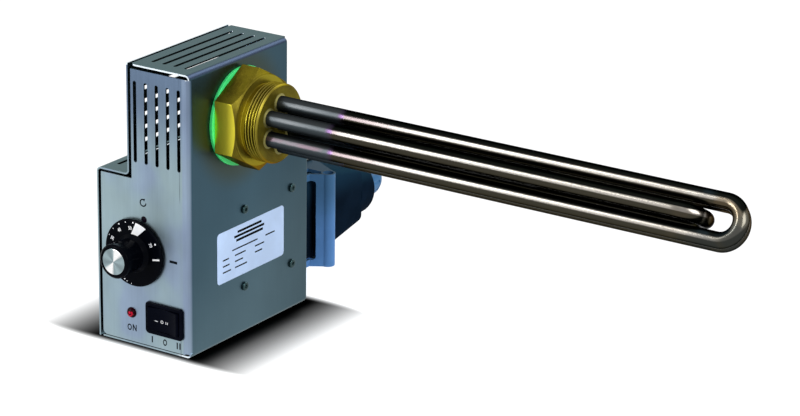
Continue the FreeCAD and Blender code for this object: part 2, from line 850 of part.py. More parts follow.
def switch_rocker():
    # Three-position rocker: a hollow front and round flanks centred on its pivot
    half = rocker_width / 2
    low = rocker_axis - vec(0, 0, rocker_height / 2)

    def at(x, y):
        return low + vec(x, y, 0)

    def flank(side, y):
        return at(side * math.sqrt(half ** 2 - y ** 2), y)

    tip = -rocker_proud - rocker_pivot_depth
    foot_right = at(rocker_foot_width / 2, rocker_foot)
    foot_left = at(-rocker_foot_width / 2, rocker_foot)
    edges = [Part.Arc(flank(-1, tip), at(0, tip + rocker_dip), flank(1, tip)).toShape(),
             Part.Arc(flank(1, tip), at(half, 0), flank(1, rocker_skirt)).toShape(),
             Part.LineSegment(flank(1, rocker_skirt), foot_right).toShape(),
             Part.LineSegment(foot_right, foot_left).toShape(),
             Part.LineSegment(foot_left, flank(-1, rocker_skirt)).toShape(),
             Part.Arc(flank(-1, rocker_skirt), at(-half, 0), flank(-1, tip)).toShape()]
    rocker = Part.Face(Part.Wire(edges)).extrude(vec(0, 0, rocker_height))
    reach = vec(0, 0, rocker_height / 2 + rocker_trunnion)
    trunnion = rod(rocker_pivot_radius, rocker_axis - reach, rocker_axis + reach)
    return rocker.fuse(trunnion)


def contactor_bracket():
    y_rear = rear - face_screw_rear_inset
    y_front = y_rear - face_screw_spacing_y
    z_low = base + face_screw_low
    z_high = z_low + face_screw_spacing_z
    plate = block(inner_right - bracket_thickness, inner_right,
                  y_front - bracket_edge, y_rear + bracket_edge, z_low - bracket_edge, z_high + bracket_edge)
    holes = [screw_hole(place, vec(-1, 0, 0), 2 * sheet + bracket_thickness) for place in face_screw_places]
    return plate.cut(holes)


def contactor():
    # Stepped switching block with a row of screw wells along each end
    face = inner_right - bracket_thickness
    y_mid = rear - face_screw_rear_inset - face_screw_spacing_y / 2
    z_mid = base + face_screw_low + face_screw_spacing_z / 2
    half_y = face_screw_spacing_y / 2 - contactor_side_gap
    half_z = contactor_height / 2
    step_x = face - contactor_depth * contactor_back_share
    body = block(step_x, face, y_mid - half_y, y_mid + half_y, z_mid - half_z, z_mid + half_z)
    front_half_y = half_y - contactor_side_gap
    front_part = block(face - contactor_depth, step_x, y_mid - front_half_y, y_mid + front_half_y,
                       z_mid - half_z + contactor_step, z_mid + half_z - contactor_step)
    wells = []
    for row in (-1, 1):
        for column in range(contactor_well_count):
            y = y_mid - half_y + (column + 0.5) * 2 * half_y / contactor_well_count
            place = vec(step_x, y, z_mid + row * (half_z - contactor_step / 2))
            well_end = place + vec(contactor_well_depth, 0, 0)
            wells.append(rod(contactor_well_radius, place - vec(sheet, 0, 0), well_end))
    return body.fuse(front_part).cut(wells)


def terminal_block():
    # Row of terminals on the box's floor, with a raised middle and two wells each
    x0 = left + sheet + terminal_side_gap
    x1 = x0 + terminal_count * terminal_pitch
    y1 = rear - sheet - terminal_rear_gap
    y0 = y1 - terminal_depth
    z0 = base + sheet
    shelf_z = z0 + terminal_shelf
    body = block(x0, x1, y0, y1, z0, shelf_z)
    ridge = block(x0, x1, y0 + terminal_ridge_inset, y1 - terminal_ridge_inset,
                  shelf_z, z0 + terminal_height)
    wells = []
    for index in range(terminal_count):
        x = x0 + (index + 0.5) * terminal_pitch
        for y in (y0 + terminal_well_inset, y1 - terminal_well_inset):
            well_end = vec(x, y, shelf_z - terminal_well_depth)
            wells.append(rod(terminal_well_radius, vec(x, y, shelf_z + sheet), well_end))
    return body.fuse(ridge).cut(wells)


def earth_stud():
    # Stud on the box's floor with a collar, a washer and two nuts
    foot = vec(left + sheet + stud_from_cover, front + stud_from_front, base + sheet)
    up = vec(0, 0, 1)
    first_level = stud_collar_height
    washer_level = first_level + stud_nut_thickness
    second_level = washer_level + washer_thickness
    pieces = [rod(stud_collar_radius, foot, foot + up * first_level),
              rod(washer_radius, foot + up * washer_level, foot + up * second_level)]
    nut_radius = stud_nut_width / math.sqrt(3)
    for level in (first_level, second_level):
        points = []
        for index in range(6):
            angle = math.radians(60 * index)
            points.append(foot + vec(nut_radius * math.cos(angle), nut_radius * math.sin(angle), level))
        pieces.append(polygon_face(points).extrude(up * stud_nut_thickness))
    return rod(stud_radius, foot, foot + up * stud_length).fuse(pieces)


# Rear connector, built about the axis socket_x, socket_z and going back along +Y
flange_y = rear + flange_gasket_thickness
joint_y = flange_y + socket_depth
foot_y = joint_y + hood_joint_gap
hood_end_y = foot_y + hood_depth
collar_end_y = hood_end_y + hood_collar_depth
pivot_y = joint_y + lever_pivot_above_joint
peg_y = pivot_y - lever_peg_distance
arm_inner = hood_length / 2 + lever_gap
arm_outer = arm_inner + lever_arm_thickness
socket_centre = vec(socket_x, rear, socket_z)
housing_seat = vec(0, flange_gasket_thickness + flange_thickness, 0)
housing_screw_places = [place + housing_seat for place in flange_screw_places]


def rounded_wire(y, width, length, corner):
    # Outline of a rounded rectangle across the connector's axis
    slab = rounded_block(socket_centre, width, length, y, y + 1, corner)
    faces = [f for f in slab.Faces if abs(f.CenterOfMass.y - y) < 1e-6]
    return faces[0].OuterWire


def flange_gasket():
    width = flange_width - flange_gasket_inset
    length = flange_length - flange_gasket_inset
    shape = rounded_block(socket_centre, width, length, rear, flange_y, socket_corner)
    cutters = [rounded_block(socket_centre, cutout_width, cutout_length, rear - sheet, flange_y + sheet,
                             cutout_corner)]
    for place in flange_screw_places:
        cutters.append(screw_hole(place, vec(0, 1, 0), 2 * flange_gasket_thickness))
    return shape.cut(cutters)


def socket_housing():
    # Cast housing: flange, hollow body and a peg at each end for the lever's hooks
    flange = rounded_block(socket_centre, flange_width, flange_length, flange_y,
                           flange_y + flange_thickness, socket_corner)
    body = rounded_block(socket_centre, socket_width, socket_length, flange_y, joint_y, socket_corner)
    pegs = []
    for side in (-1, 1):
        start = vec(socket_x, peg_y, socket_z + side * (socket_length - socket_wall) / 2)
        end = vec(socket_x, peg_y, socket_z + side * (arm_outer + peg_proud))
        pegs.append(rod(peg_radius, start, end))
    floor_y = joint_y - insert_depth - insert_flange
    hollow = rounded_block(socket_centre, socket_width - 2 * socket_wall, socket_length - 2 * socket_wall,
                           floor_y, joint_y + sheet, socket_corner - socket_wall)
    throat = rounded_block(socket_centre, cutout_width, cutout_length, rear, joint_y, cutout_corner)
    holes = []
    for place in flange_screw_places:
        holes.append(screw_hole(place, vec(0, 1, 0), 2 * flange_thickness))
    return flange.fuse([body] + pegs).cut([hollow, throat] + holes)


def contact_places(y):
    places = []
    for column in (-1, 1):
        for index in range(contact_rows):
            row = index - (contact_rows - 1) / 2
            places.append(vec(socket_x + column * contact_column, y, socket_z + row * contact_pitch))
    return places


def socket_insert():
    # Contact block that fills the housing behind the joint
    width = socket_width - 2 * socket_wall - 2 * insert_clearance
    length = socket_length - 2 * socket_wall - 2 * insert_clearance
    end = joint_y - insert_flange
    shape = rounded_block(socket_centre, width, length, end - insert_depth, end, socket_corner - socket_wall)
    wells = []
    for place in contact_places(end):
        wells.append(rod(contact_radius + contact_clearance, place, place - vec(0, contact_reach, 0)))
    return shape.cut(wells)


def hood_insert():
    # Contact block of the plug: a plate in the hood's foot and a body behind it
    width = hood_width - 2 * hood_wall - 2 * hood_insert_gap
    length = hood_length - 2 * hood_wall - 4 * hood_insert_gap
    plate_end = foot_y + insert_flange
    plate = rounded_block(socket_centre, width, length, foot_y, plate_end, hood_corner - hood_wall)
    body = rounded_block(socket_centre, width - hood_insert_step, length - 4 * hood_insert_step, foot_y,
                         foot_y + insert_depth, cutout_corner)
    holes = []
    for place in contact_places(foot_y):
        holes.append(rod(contact_radius, place - vec(0, sheet, 0), place + vec(0, insert_depth + sheet, 0)))
    return plate.fuse(body).cut(holes)


def contact_pins():
    pins = []
    for place in contact_places(foot_y):
        reach = insert_flange + hood_joint_gap + contact_engaged
        pin = rod(contact_radius, place - vec(0, reach, 0), place + vec(0, insert_depth, 0))
        tip = [e for e in pin.Edges if e.Closed and e.CenterOfMass.y < place.y - reach / 2]
        pins.append(pin.makeFillet(contact_radius / 2, tip))
    return Part.makeCompound(pins)


def hood_taper(y0, y1, inset):
    # Loft between the hood's foot and end outlines, both drawn in by inset
    foot_wire = rounded_wire(y0, hood_width - 2 * inset, hood_length - 2 * inset, hood_corner - inset)
    end_wire = rounded_wire(y1, hood_end_width - 2 * inset, hood_end_length - 2 * inset,
                            hood_end_corner - inset)
    return Part.makeLoft([foot_wire, end_wire], True, True)


def plug_hood():
    # Tapered hood: a straight foot, a taper to a rounded square and a round collar
    foot_end = foot_y + hood_foot_depth
    foot = rounded_block(socket_centre, hood_width, hood_length, foot_y, foot_end, hood_corner)
    taper = hood_taper(foot_end, hood_end_y, 0)
    collar = rod(hood_collar_radius, connector_point(hood_end_y, 0), connector_point(collar_end_y, 0))
    rim = [e for e in collar.Edges if e.Closed and abs(e.CenterOfMass.y - collar_end_y) < 0.01]
    collar = collar.makeFillet(hood_collar_edge, rim)
    boss_end = arm_inner - lever_gap
    pin_end = arm_outer + lever_gap
    bosses = []
    pin_holes = []
    for side in (-1, 1):
        boss_start = connector_point(pivot_y, side * hood_end_length / 2)
        bosses.append(rod(pin_boss_radius, boss_start, connector_point(pivot_y, side * boss_end)))
        pin_start = connector_point(pivot_y, side * (hood_end_length / 2 + pin_root))
        pin_holes.append(rod(pin_radius, pin_start, connector_point(pivot_y, side * pin_end)))
    hollow = hood_taper(foot_y - sheet, hood_end_y - hood_wall, hood_wall)
    throat = rod(gland_thread_radius, connector_point(collar_end_y - gland_bore_depth, 0),
                 connector_point(collar_end_y + sheet, 0))
    return foot.fuse([taper, collar] + bosses).cut([hollow, throat] + pin_holes)


def connector_point(y, rise):
    # Point on the connector's axis at y, or above it by rise
    return vec(socket_x, y, socket_z + rise)


def lever_pins():
    # Headed pins pressed into the hood's bosses
    pins = []
    for side in (-1, 1):
        start = connector_point(pivot_y, side * (hood_end_length / 2 + pin_root))
        head = connector_point(pivot_y, side * (arm_outer + lever_gap))
        end = connector_point(pivot_y, side * (arm_outer + lever_gap + pin_head_thickness))
        pins.append(rod(pin_radius, start, head).fuse(rod(pin_head_radius, head, end)).removeSplitter())
    return Part.makeCompound(pins)


def locking_lever():
    # An apron that flares out to a hollow round bead, and an arm with a hook at each end
    low = socket_z - arm_outer
    length = vec(0, 0, 2 * arm_outer)
    apron_x = socket_width / 2 + lever_apron_gap
    slope = math.tan(math.radians(lever_flare_angle))
    rise = math.cos(math.radians(lever_flare_angle))
    bead = vec(lever_bead_offset, -lever_bead_setback, 0)

    def at(x, y):
        return vec(socket_x + x, pivot_y + y, low)

    def flare_y(x, offset):
        return bead.y - (bead.x - x) * slope - offset / rise

    outer = lever_flare_offset
    inner = lever_flare_offset - lever_wall
    apron_outer = apron_x + lever_wall
    profile = [at(apron_x, -lever_apron_end), at(apron_outer, -lever_apron_end),
               at(apron_outer, flare_y(apron_outer, outer)), at(bead.x, flare_y(bead.x, outer)),
               at(bead.x, flare_y(bead.x, inner)), at(apron_x, flare_y(apron_x, inner))]
    grip = polygon_face(profile).extrude(length)
    window = block(socket_x + apron_x - sheet, socket_x + lever_window_reach,
                   pivot_y - lever_apron_end + lever_window_start, pivot_y + bead.y,
                   socket_z - lever_window_length / 2, socket_z + lever_window_length / 2)
    corners = [e for e in window.Edges
               if abs(e.tangentAt(e.FirstParameter).y) > 0.99 and e.CenterOfMass.x > socket_x + apron_x]
    window = window.makeFillet(lever_window_corner, corners)
    roll = rod(lever_bead_radius, at(bead.x, bead.y), at(bead.x, bead.y) + length)
    bore = rod(lever_bead_radius - lever_bead_wall, at(bead.x, bead.y), at(bead.x, bead.y) + length)
    arms = [lever_arm(low), lever_arm(low + 2 * arm_outer - lever_arm_thickness)]
    return grip.cut(window).fuse([roll] + arms).cut(bore).removeSplitter()


def lever_arm(bottom):
    # Flat arm: hub, web to the bead and a hook whose round slot holds the housing's peg
    centre = vec(socket_x, pivot_y, bottom)
    height = vec(0, 0, lever_arm_thickness)

    def at(x, y):
        return centre + vec(x, y, 0)

    def polar(radius, angle):
        turn = math.radians(angle)
        return at(radius * math.cos(turn), radius * math.sin(turn))

    hub = Part.makeCylinder(lever_hub_radius, lever_arm_thickness, centre)
    reach = lever_hook_radius * 1.5
    hook_end = -90 - lever_hook_angle
    half = lever_hook_width / 2
    hook_sector = polygon_face([centre, polar(reach, hook_end), polar(reach, -90),
                                at(half, -reach), at(half, 0)]).extrude(height)
    hook = Part.makeCylinder(lever_hook_radius, lever_arm_thickness, centre).common(hook_sector)
    web_low = -lever_bead_setback - lever_web_edge
    web_high = lever_bead_radius - lever_bead_setback
    web = polygon_face([at(0, lever_hub_radius), at(lever_bead_offset, web_high),
                        at(lever_bead_offset, web_low), at(0, web_low)]).extrude(height)
    fit = peg_radius + peg_clearance
    slot = Part.makeCylinder(lever_peg_distance + fit, lever_arm_thickness, centre)
    slot = slot.cut(Part.makeCylinder(lever_peg_distance - fit, lever_arm_thickness, centre))
    slot_sector = [centre, polar(reach, -90), polar(reach, -135), polar(reach, -180)]
    opening = polygon_face(slot_sector).extrude(height)
    peg_hole = Part.makeCylinder(fit, lever_arm_thickness, polar(lever_peg_distance, -90))
    pin_hole = Part.makeCylinder(pin_radius + pin_clearance, lever_arm_thickness, centre)
    return hub.fuse([hook, web]).removeSplitter().cut([slot.common(opening), peg_hole, pin_hole])


def gland_body():
    # Threaded sleeve screwed into the hood, with a collar against its end
    start = connector_point(collar_end_y - gland_thread_inside, 0)
    face = connector_point(collar_end_y, 0)
    face_end = connector_point(collar_end_y + gland_body_length, 0)
    end = connector_point(collar_end_y + gland_body_length + gland_thread_outside, 0)
    sleeve = rod(gland_thread_radius, start, end)
    ring = rod(gland_nut_radius - gland_nut_overlap, face, face_end)
    return sleeve.fuse(ring).removeSplitter().cut(rod(seal_radius, start, end))


def gland_nut():
    # Domed cap nut: grooves round its grip, a seat for the seal and a mouth for the cable
    start = collar_end_y + gland_body_length
    seat = gland_nut_length - gland_nut_wall
    sleeve_end = gland_thread_outside + insert_clearance
    mouth = cable_bore_radius + gland_mouth_gap
    grip_end = gland_nut_length - gland_dome
    profile = [(0, gland_thread_radius), (0, gland_nut_radius), (grip_end, gland_nut_radius),
               (grip_end + gland_dome * 0.75, gland_nut_radius - gland_dome * 0.3),
               (gland_nut_length, gland_nut_radius - gland_dome * 0.65),
               (gland_nut_length, mouth), (seat, mouth),
               (seat, seal_radius), (sleeve_end, seal_radius), (sleeve_end, gland_thread_radius)]
    shape = turned(profile, connector_point(start, 0), vec(0, 1, 0))
    grips = []
    spread = gland_nut_radius + gland_grip_radius - gland_grip_depth
    for index in range(gland_grip_count):
        angle = 2 * math.pi * index / gland_grip_count
        side = vec(spread * math.cos(angle), 0, spread * math.sin(angle))
        grip_start = connector_point(start - sheet, 0) + side
        grips.append(rod(gland_grip_radius, grip_start, connector_point(start + grip_end - sheet, 0) + side))
    return shape.cut(grips)


def gland_seal():
    end = collar_end_y + gland_body_length + gland_nut_length - gland_nut_wall
    start = end - seal_length
    return tube(seal_radius, cable_bore_radius, connector_point(start, 0), connector_point(end, 0))


os.makedirs("parts", exist_ok=True)

save("main_shell", main_shell())
save("side_cover", side_cover())
save("cover_screws", screws(cover_screw_places, vec(1, 0, 0), screw_length))
save("face_screws", screws(face_screw_places, vec(-1, 0, 0), screw_length))
save("screw_plug", screw_plug())
save("face_gasket", face_gasket())
save("lock_nut", lock_nut())
save("front_heating_loop", heating_loop(front_loop_angles, front_loop_reach))
save("rear_heating_loop", heating_loop(rear_loop_angles, rear_loop_reach))
save("inner_heating_loop", heating_loop(inner_loop_angles, inner_loop_reach))
save("end_beads", ring_group(bead_radius, terminal_radius, bead_end_x, rod_inner_x))
save("terminal_pins", ring_group(terminal_radius, 0, bead_end_x - terminal_length, rod_inner_x))
save("sensor_pocket", sensor_pocket())
save("thermostat_body", thermostat_body())
save("thermostat_spindle", thermostat_spindle())
save("control_dial", control_dial())
save("dial_cap", dial_cap())
save("limiter_body", limiter_body())
save("reset_button", reset_button())
save("lamp_lens", lamp_lens())
save("lamp_holder", lamp_holder())
save("switch_housing", switch_housing())
save("switch_rocker", switch_rocker())
save("contactor_bracket", contactor_bracket())
save("contactor", contactor())
save("terminal_block", terminal_block())
save("earth_stud", earth_stud())
save("flange_gasket", flange_gasket())
save("socket_housing", socket_housing())
save("housing_screws", screws(housing_screw_places, vec(0, -1, 0), screw_length + 2 * sheet))
save("socket_insert", socket_insert())
save("plug_hood", plug_hood())
save("hood_insert", hood_insert())
save("contact_pins", contact_pins())
save("locking_lever", locking_lever())
save("lever_pins", lever_pins())
save("gland_body", gland_body())
save("gland_nut", gland_nut())
save("gland_seal", gland_seal())
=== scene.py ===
import bpy
import bmesh
import math
from mathutils import Matrix, Vector
from mathutils.bvhtree import BVHTree


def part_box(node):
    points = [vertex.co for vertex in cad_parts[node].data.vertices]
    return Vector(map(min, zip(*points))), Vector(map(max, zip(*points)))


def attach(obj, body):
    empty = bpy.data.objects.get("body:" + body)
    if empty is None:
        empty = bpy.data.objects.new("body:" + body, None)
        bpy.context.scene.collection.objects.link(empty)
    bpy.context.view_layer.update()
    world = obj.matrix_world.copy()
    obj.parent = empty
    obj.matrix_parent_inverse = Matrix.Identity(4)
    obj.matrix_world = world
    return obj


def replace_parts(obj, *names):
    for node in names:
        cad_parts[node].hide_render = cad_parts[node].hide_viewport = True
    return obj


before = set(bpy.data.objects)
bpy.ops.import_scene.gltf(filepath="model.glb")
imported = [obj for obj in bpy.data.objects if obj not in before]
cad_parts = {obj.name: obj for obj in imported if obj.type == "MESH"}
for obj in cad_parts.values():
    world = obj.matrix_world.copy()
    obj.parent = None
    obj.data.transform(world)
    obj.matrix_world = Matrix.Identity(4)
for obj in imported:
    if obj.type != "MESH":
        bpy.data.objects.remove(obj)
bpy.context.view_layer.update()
mm = 0.001
xAxis = Vector((1, 0, 0))      # along the loops, away from the box
zAxis = Vector((0, 0, 1))      # up, and the controls face -Y
origin = Vector((0, 0, 0))     # on the plug's axis
staticBody = "heater"
print("frame loaded:", len(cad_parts), "nodes")

shellLow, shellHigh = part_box("main_shell")
boxCorner = Vector((shellHigh.x, shellLow.y, shellLow.z))    # front lower corner on the plug's side


class Socket:
    # one value in a node tree: plain arithmetic on it adds Math nodes
    def __init__(self, finish, link):
        self.finish = finish
        self.link = link

    def maths(self, operation, *values):
        return self.finish.node("ShaderNodeMath", {"operation": operation}, dict(enumerate(values)))

    def __add__(self, other): return self.maths("ADD", self, other)
    def __radd__(self, other): return self.maths("ADD", other, self)
    def __sub__(self, other): return self.maths("SUBTRACT", self, other)
    def __rsub__(self, other): return self.maths("SUBTRACT", other, self)
    def __mul__(self, other): return self.maths("MULTIPLY", self, other)
    def __rmul__(self, other): return self.maths("MULTIPLY", other, self)
    def __truediv__(self, other): return self.maths("DIVIDE", self, other)
    def __rtruediv__(self, other): return self.maths("DIVIDE", other, self)

    def power(self, exponent): return self.maths("POWER", self, exponent)
    def size(self): return self.maths("ABSOLUTE", self)
    def larger(self, other): return self.maths("MAXIMUM", self, other)
    def smaller(self, other): return self.maths("MINIMUM", self, other)

    def rise(self, start, end):
        # 0 below start, 1 above end, smooth between them
        return self.finish.node("ShaderNodeMapRange", {"interpolation_type": "SMOOTHSTEP"},
                                {"Value": self, "From Min": start, "From Max": end})

    def riseMm(self, start, end, base=0.0):
        # the same, with start and end in mm from a base
        return self.rise(base + start * mm, base + end * mm)


class NodeTree:
    # the nodes of a material or a world, and the shader that they feed
    def __init__(self, owner, shader):
        owner.use_nodes = True
        self.tree = owner.node_tree
        self.shader = self.tree.nodes[shader]

    def fixed(self, socketName, value):
        self.shader.inputs[socketName].default_value = value

    def node(self, kind, settings=None, inputs=None, output=0):
        # a wrapped input is linked, and a plain one is set
        made = self.tree.nodes.new(kind)
        for key, value in (settings or {}).items():
            setattr(made, key, value)
        for key, value in (inputs or {}).items():
            if isinstance(value, Socket):
                self.tree.links.new(value.link, made.inputs[key])
            else:
                made.inputs[key].default_value = value
        return Socket(self, made.outputs[output])

    def drive(self, socketName, value):
        self.tree.links.new(value.link, self.shader.inputs[socketName])
        return self

    def rays(self, first, *others):
        # 1 for rays of any of these kinds
        path = self.node("ShaderNodeLightPath").link.node
        kind = Socket(self, path.outputs[first])
        for other in others:
            kind = kind.larger(Socket(self, path.outputs[other]))
        return kind


class Finish(NodeTree):
    # one material with a Principled shader; fixed sockets have _ for a space
    def __init__(self, name, colour, roughness, metallic=0.0, **fixed):
        self.material = bpy.data.materials.new(name)
        super().__init__(self.material, "Principled BSDF")
        self.fixed("Base Color", (*colour, 1.0))
        self.fixed("Roughness", roughness)
        self.fixed("Metallic", metallic)
        for words, value in fixed.items():
            self.fixed(words.replace("_", " "), value)
        self.material.diffuse_color = (*colour, 1.0)

    def place(self):
        return self.node("ShaderNodeTexCoord", output="Object")

    def facing(self):
        # the three parts of the surface normal
        return self.split(self.node("ShaderNodeTexCoord", output="Normal"))

    def split(self, vector):
        node = self.node("ShaderNodeSeparateXYZ", None, {"Vector": vector}).link.node
        return [Socket(self, node.outputs[index]) for index in range(3)]

    def mapped(self, vector, scale, centre=(0, 0, 0)):
        return self.node("ShaderNodeMapping", None, {"Vector": vector, "Scale": scale, "Location": centre})

    def noise(self, vector, scale, detail=3.0, rough=0.55):
        return self.node("ShaderNodeTexNoise", None,
                         {"Vector": vector, "Scale": scale, "Detail": detail, "Roughness": rough})

    def blend(self, factor, first, second, mode="MIX"):
        # colours: a plain tuple is a fixed colour
        wide = [colour if isinstance(colour, Socket) else (*colour, 1.0) for colour in (first, second)]
        return self.node("ShaderNodeMix", {"data_type": "RGBA", "blend_type": mode},
                         {0: factor, 6: wide[0], 7: wide[1]}, 2)

    def shaded(self, colour, shade):
        # a colour made lighter or darker by one value
        tone = self.node("ShaderNodeCombineColor", None, {0: shade, 1: shade, 2: shade})
        return self.blend(1.0, colour, tone, "MULTIPLY")

    def around(self, centre):
        # offsets along X and Z from an axis along Y, and the distance from it
        x, y, z = self.split(self.place())
        dx = x - centre.x
        dz = z - centre.z
        return dx, dz, (dx * dx + dz * dz).power(0.5)

    def bump(self, height, strength, depth):
        # depth is in mm
        normal = self.node("ShaderNodeBump", None,
                           {"Height": height, "Strength": strength, "Distance": depth * mm})
        return self.drive("Normal", normal)


steelLook = {
    # the tones of each side below are painted reflection and shade: lit and shaded copies of one steel
    "front": (0.262, 0.352, 0.412),
    "frontLilac": (0.235, 0.300, 0.440),
    "lilacShare": 0.6,
    "frontGreen": (0.275, 0.365, 0.365),
    "greenShare": 0.45,
    "frontTop": (0.115, 0.165, 0.245),
    "topFade": (75.0, 5.0),               # start and end of the front's painted shade at the top, in mm below the roof
    "paintedSheen": (6.2, 5.2),                  # edge of the painted lilac highlight strip by the right bend, in mm from the side
    "face": (0.046, 0.092, 0.124),
    # painted lighter reflection of the floor, low on the plug's side
    "faceLow": (0.080, 0.135, 0.165),
    "faceRise": 95.0,                     # height in mm over which this painted low reflection ends
    # painted reflection of the brass plug, and painted shade round it
    "plugReflection": (0.050, 0.070, 0.062),
    "plugShade": (32.0, 48.0),            # distances from the plug's axis over which its painted reflection and shade end
    "rearFade": (10.0, 68.0),             # along Y, where the plug's side gets darker
    "rearLoss": 0.22,
    "topBend": (0.036, 0.050, 0.092),     # painted darker reflection on the rounded edge between the roof and the plug's side
    "cut": (0.72, 0.80, 0.86),            # bare cut edges that face forward: their bright tone is partly bare metal, partly painted highlight
    "roofCut": (1.30, 1.05),              # where they start and end, in mm from the roof, side or base
    "notchCut": ((3.4, 3.0), (3.6, 3.2)),
    "baseCut": ((1.05, 1.30), (12.0, 5.0)),
    # painted reflection tones of the roof and of the lower step
    "roof": (0.046, 0.098, 0.108),
    "step": (0.075, 0.130, 0.140),
    "stepFade": (50.0, 10.0),
    "other": (0.15, 0.20, 0.23),
    "grazing": (0.75, 0.80, 0.80),
    "grainScale": 900.0,
    "stretch": 0.02,
    "grain": 0.16,                        # how much grain, soft streaks and clouds change the tone
    "smear": 0.8,
    "cloud": 0.3,
    "scratchPlace": 7.6,                  # a fine upright scratch on the front, in mm from the side
    "scratchWidth": (0.12, 0.45),
    "scratchDepth": 0.55,
    "roughness": 0.30,
}


def brushedSteel(name, look):
    # sheet with grain along Z on its walls and along X on level faces
    finish = Finish(name, look["other"], look["roughness"], 1.0, Specular_Tint=(*look["grazing"], 1.0))
    place = finish.place()
    nx, ny, nz = finish.facing()
    x, y, z = finish.split(place)

    def toRoof(start, end):
        return z.riseMm(-start, -end, shellHigh.z)

    def toSide(start, end):
        return x.riseMm(-start, -end, shellHigh.x)

    long = look["stretch"]
    upright = finish.noise(finish.mapped(place, (1, 1, long)), look["grainScale"], 4.0, 0.6)
    level = finish.noise(finish.mapped(place, (long, 1, 1)), look["grainScale"], 4.0, 0.6)
    isLevel = nz.size().rise(0.6, 0.8)
    grain = upright * (1 - isLevel) + level * isLevel
    streaks = finish.noise(finish.mapped(place, (1, 1, 0.4)), 34.0, 3.0, 0.5)
    cloud = finish.noise(place, 22.0, 3.0, 0.5)
    toFront = (0 - ny).rise(0.25, 0.85)
    skyward = nz.larger(0)
    rightward = nx.rise(0.4, 0.7)

    # painted tones of the front, the plug's side and the level faces: lit and shaded copies of one steel,
    # standing in for what each face reflects
    patches = finish.noise(finish.mapped(place, (1, 1, 0.8), (0.031, 0, 0.017)), 26.0, 2.0, 0.5)
    front = finish.blend(patches.rise(0.48, 0.60) * look["lilacShare"], look["front"], look["frontLilac"])
    front = finish.blend((1 - patches.rise(0.38, 0.50)) * look["greenShare"], front, look["frontGreen"])
    # painted lilac highlight beside the right bend
    beside = toSide(*look["paintedSheen"])
    front = finish.blend(beside * look["lilacShare"], front, look["frontLilac"])
    front = finish.blend(toRoof(*look["topFade"]) * (1 - 0.6 * beside), front, look["frontTop"])
    faceHeight = (z - y * 0.5).riseMm(0, look["faceRise"], shellLow.z)
    face = finish.blend(faceHeight, look["faceLow"], look["face"])
    plugRadius = (y * y + z * z).power(0.5)
    # painted reflection and shade round the plug
    face = finish.blend(1 - plugRadius.riseMm(*look["plugShade"]), face, look["plugReflection"])
    levelTone = finish.blend(toRoof(*look["stepFade"]), look["step"], look["roof"])

    colour = finish.blend(rightward, look["other"], face)
    colour = finish.blend(toFront, colour, front)
    colour = finish.blend(skyward * skyward, colour, levelTone)
    # painted darker reflection on the roof's rounded edge
    colour = finish.blend((nx * nz * 2).rise(0.15, 0.75) * 0.9, colour, look["topBend"])

    # bare cut edges along the roof, in the corner notch and at the foot, with a painted highlight where they
    # face forward
    flatFront = (0 - ny).rise(0.90, 0.97)
    roofCut = toRoof(*look["roofCut"])
    notchSide, notchTop = look["notchCut"]
    notchCut = toSide(*notchSide) * toRoof(*notchTop)
    baseHeight, baseSide = look["baseCut"]
    baseCut = (1 - z.riseMm(*baseHeight, shellLow.z)) * toSide(*baseSide)
    colour = finish.blend((roofCut + notchCut + baseCut).smaller(1) * flatFront, colour, look["cut"])

    # grain, streaks, clouds and one scratch
    shade = 1 + look["grain"] * (grain - 0.5) + look["smear"] * (streaks - 0.5) * (0.25 + 0.75 * toFront)
    shade = shade + look["cloud"] * (cloud - 0.5)
    scratch = 1 - (x - shellHigh.x + look["scratchPlace"] * mm).size().riseMm(*look["scratchWidth"])
    shade = shade - look["scratchDepth"] * scratch * flatFront * streaks.rise(0.50, 0.58)
    shade = shade - look["rearLoss"] * y.riseMm(*look["rearFade"]) * rightward
    finish.drive("Base Color", finish.shaded(colour, shade))
    finish.drive("Roughness", look["roughness"] - 0.06 + 0.16 * grain + 0.08 * cloud)
    return finish.bump(grain, 0.12, 0.05)


cutLook = {"lit": (0.70, 0.78, 0.82), "inner": (0.050, 0.065, 0.072), "roughness": 0.30}


def sheetEdge(name, look):
    # sheared edges are bright where they face forward or up, partly bare metal and partly painted highlight,
    # and dull with painted shade inside the slots
    finish = Finish(name, look["inner"], look["roughness"], 1.0)
    nx, ny, nz = finish.facing()
    lit = (0 - ny).rise(0.6, 0.9).larger(nz.rise(0.6, 0.9))
    fine = finish.noise(finish.place(), 1500.0, 3.0, 0.6)
    finish.drive("Base Color", finish.blend(lit, look["inner"], look["lit"]))
    return finish.drive("Roughness", look["roughness"] - 0.08 + 0.2 * fine)


brassLook = {
    "colour": (0.150, 0.125, 0.012),
    "dull": (0.085, 0.068, 0.008),
    "bright": (0.30, 0.23, 0.03),
    # painted reflection: flats that face the front much lighter
    "front": (0.88, 0.76, 0.06),
    "orange": (0.30, 0.15, 0.012),
    # painted highlight along the thread's crests
    "ridge": (0.34, 0.27, 0.06),
    "ridgeRadii": (22.9, 23.7, 24.0, 24.3),    # the painted crest highlight comes and goes between these, in mm
    "annulus": (0.31, 0.26, 0.034),            # painted lighter reflection on the turned face of the hexagon, round the groove
    "grazing": (0.42, 0.38, 0.14),
    "threadStart": 14.9,                       # in mm from the hexagon's back
    "lastRidge": (1.4, 1.0),                   # where the painted crest highlight ends, in mm from the plug's end
    "endPlane": (0.8, 0.4),
    "lowFade": (15.0, 28.0),                   # below the axis, where the brass gets warmer
    "rearFade": (-12.0, 16.0),                 # along Y, where painted shade dulls the upward faces behind
    "rearRadii": (24.0, 26.0),
    "roughness": 0.26,
    "rings": 2600.0,
    "metal": 0.9,
    "endLoss": 0.35,                           # how much less metallic the end face is
}


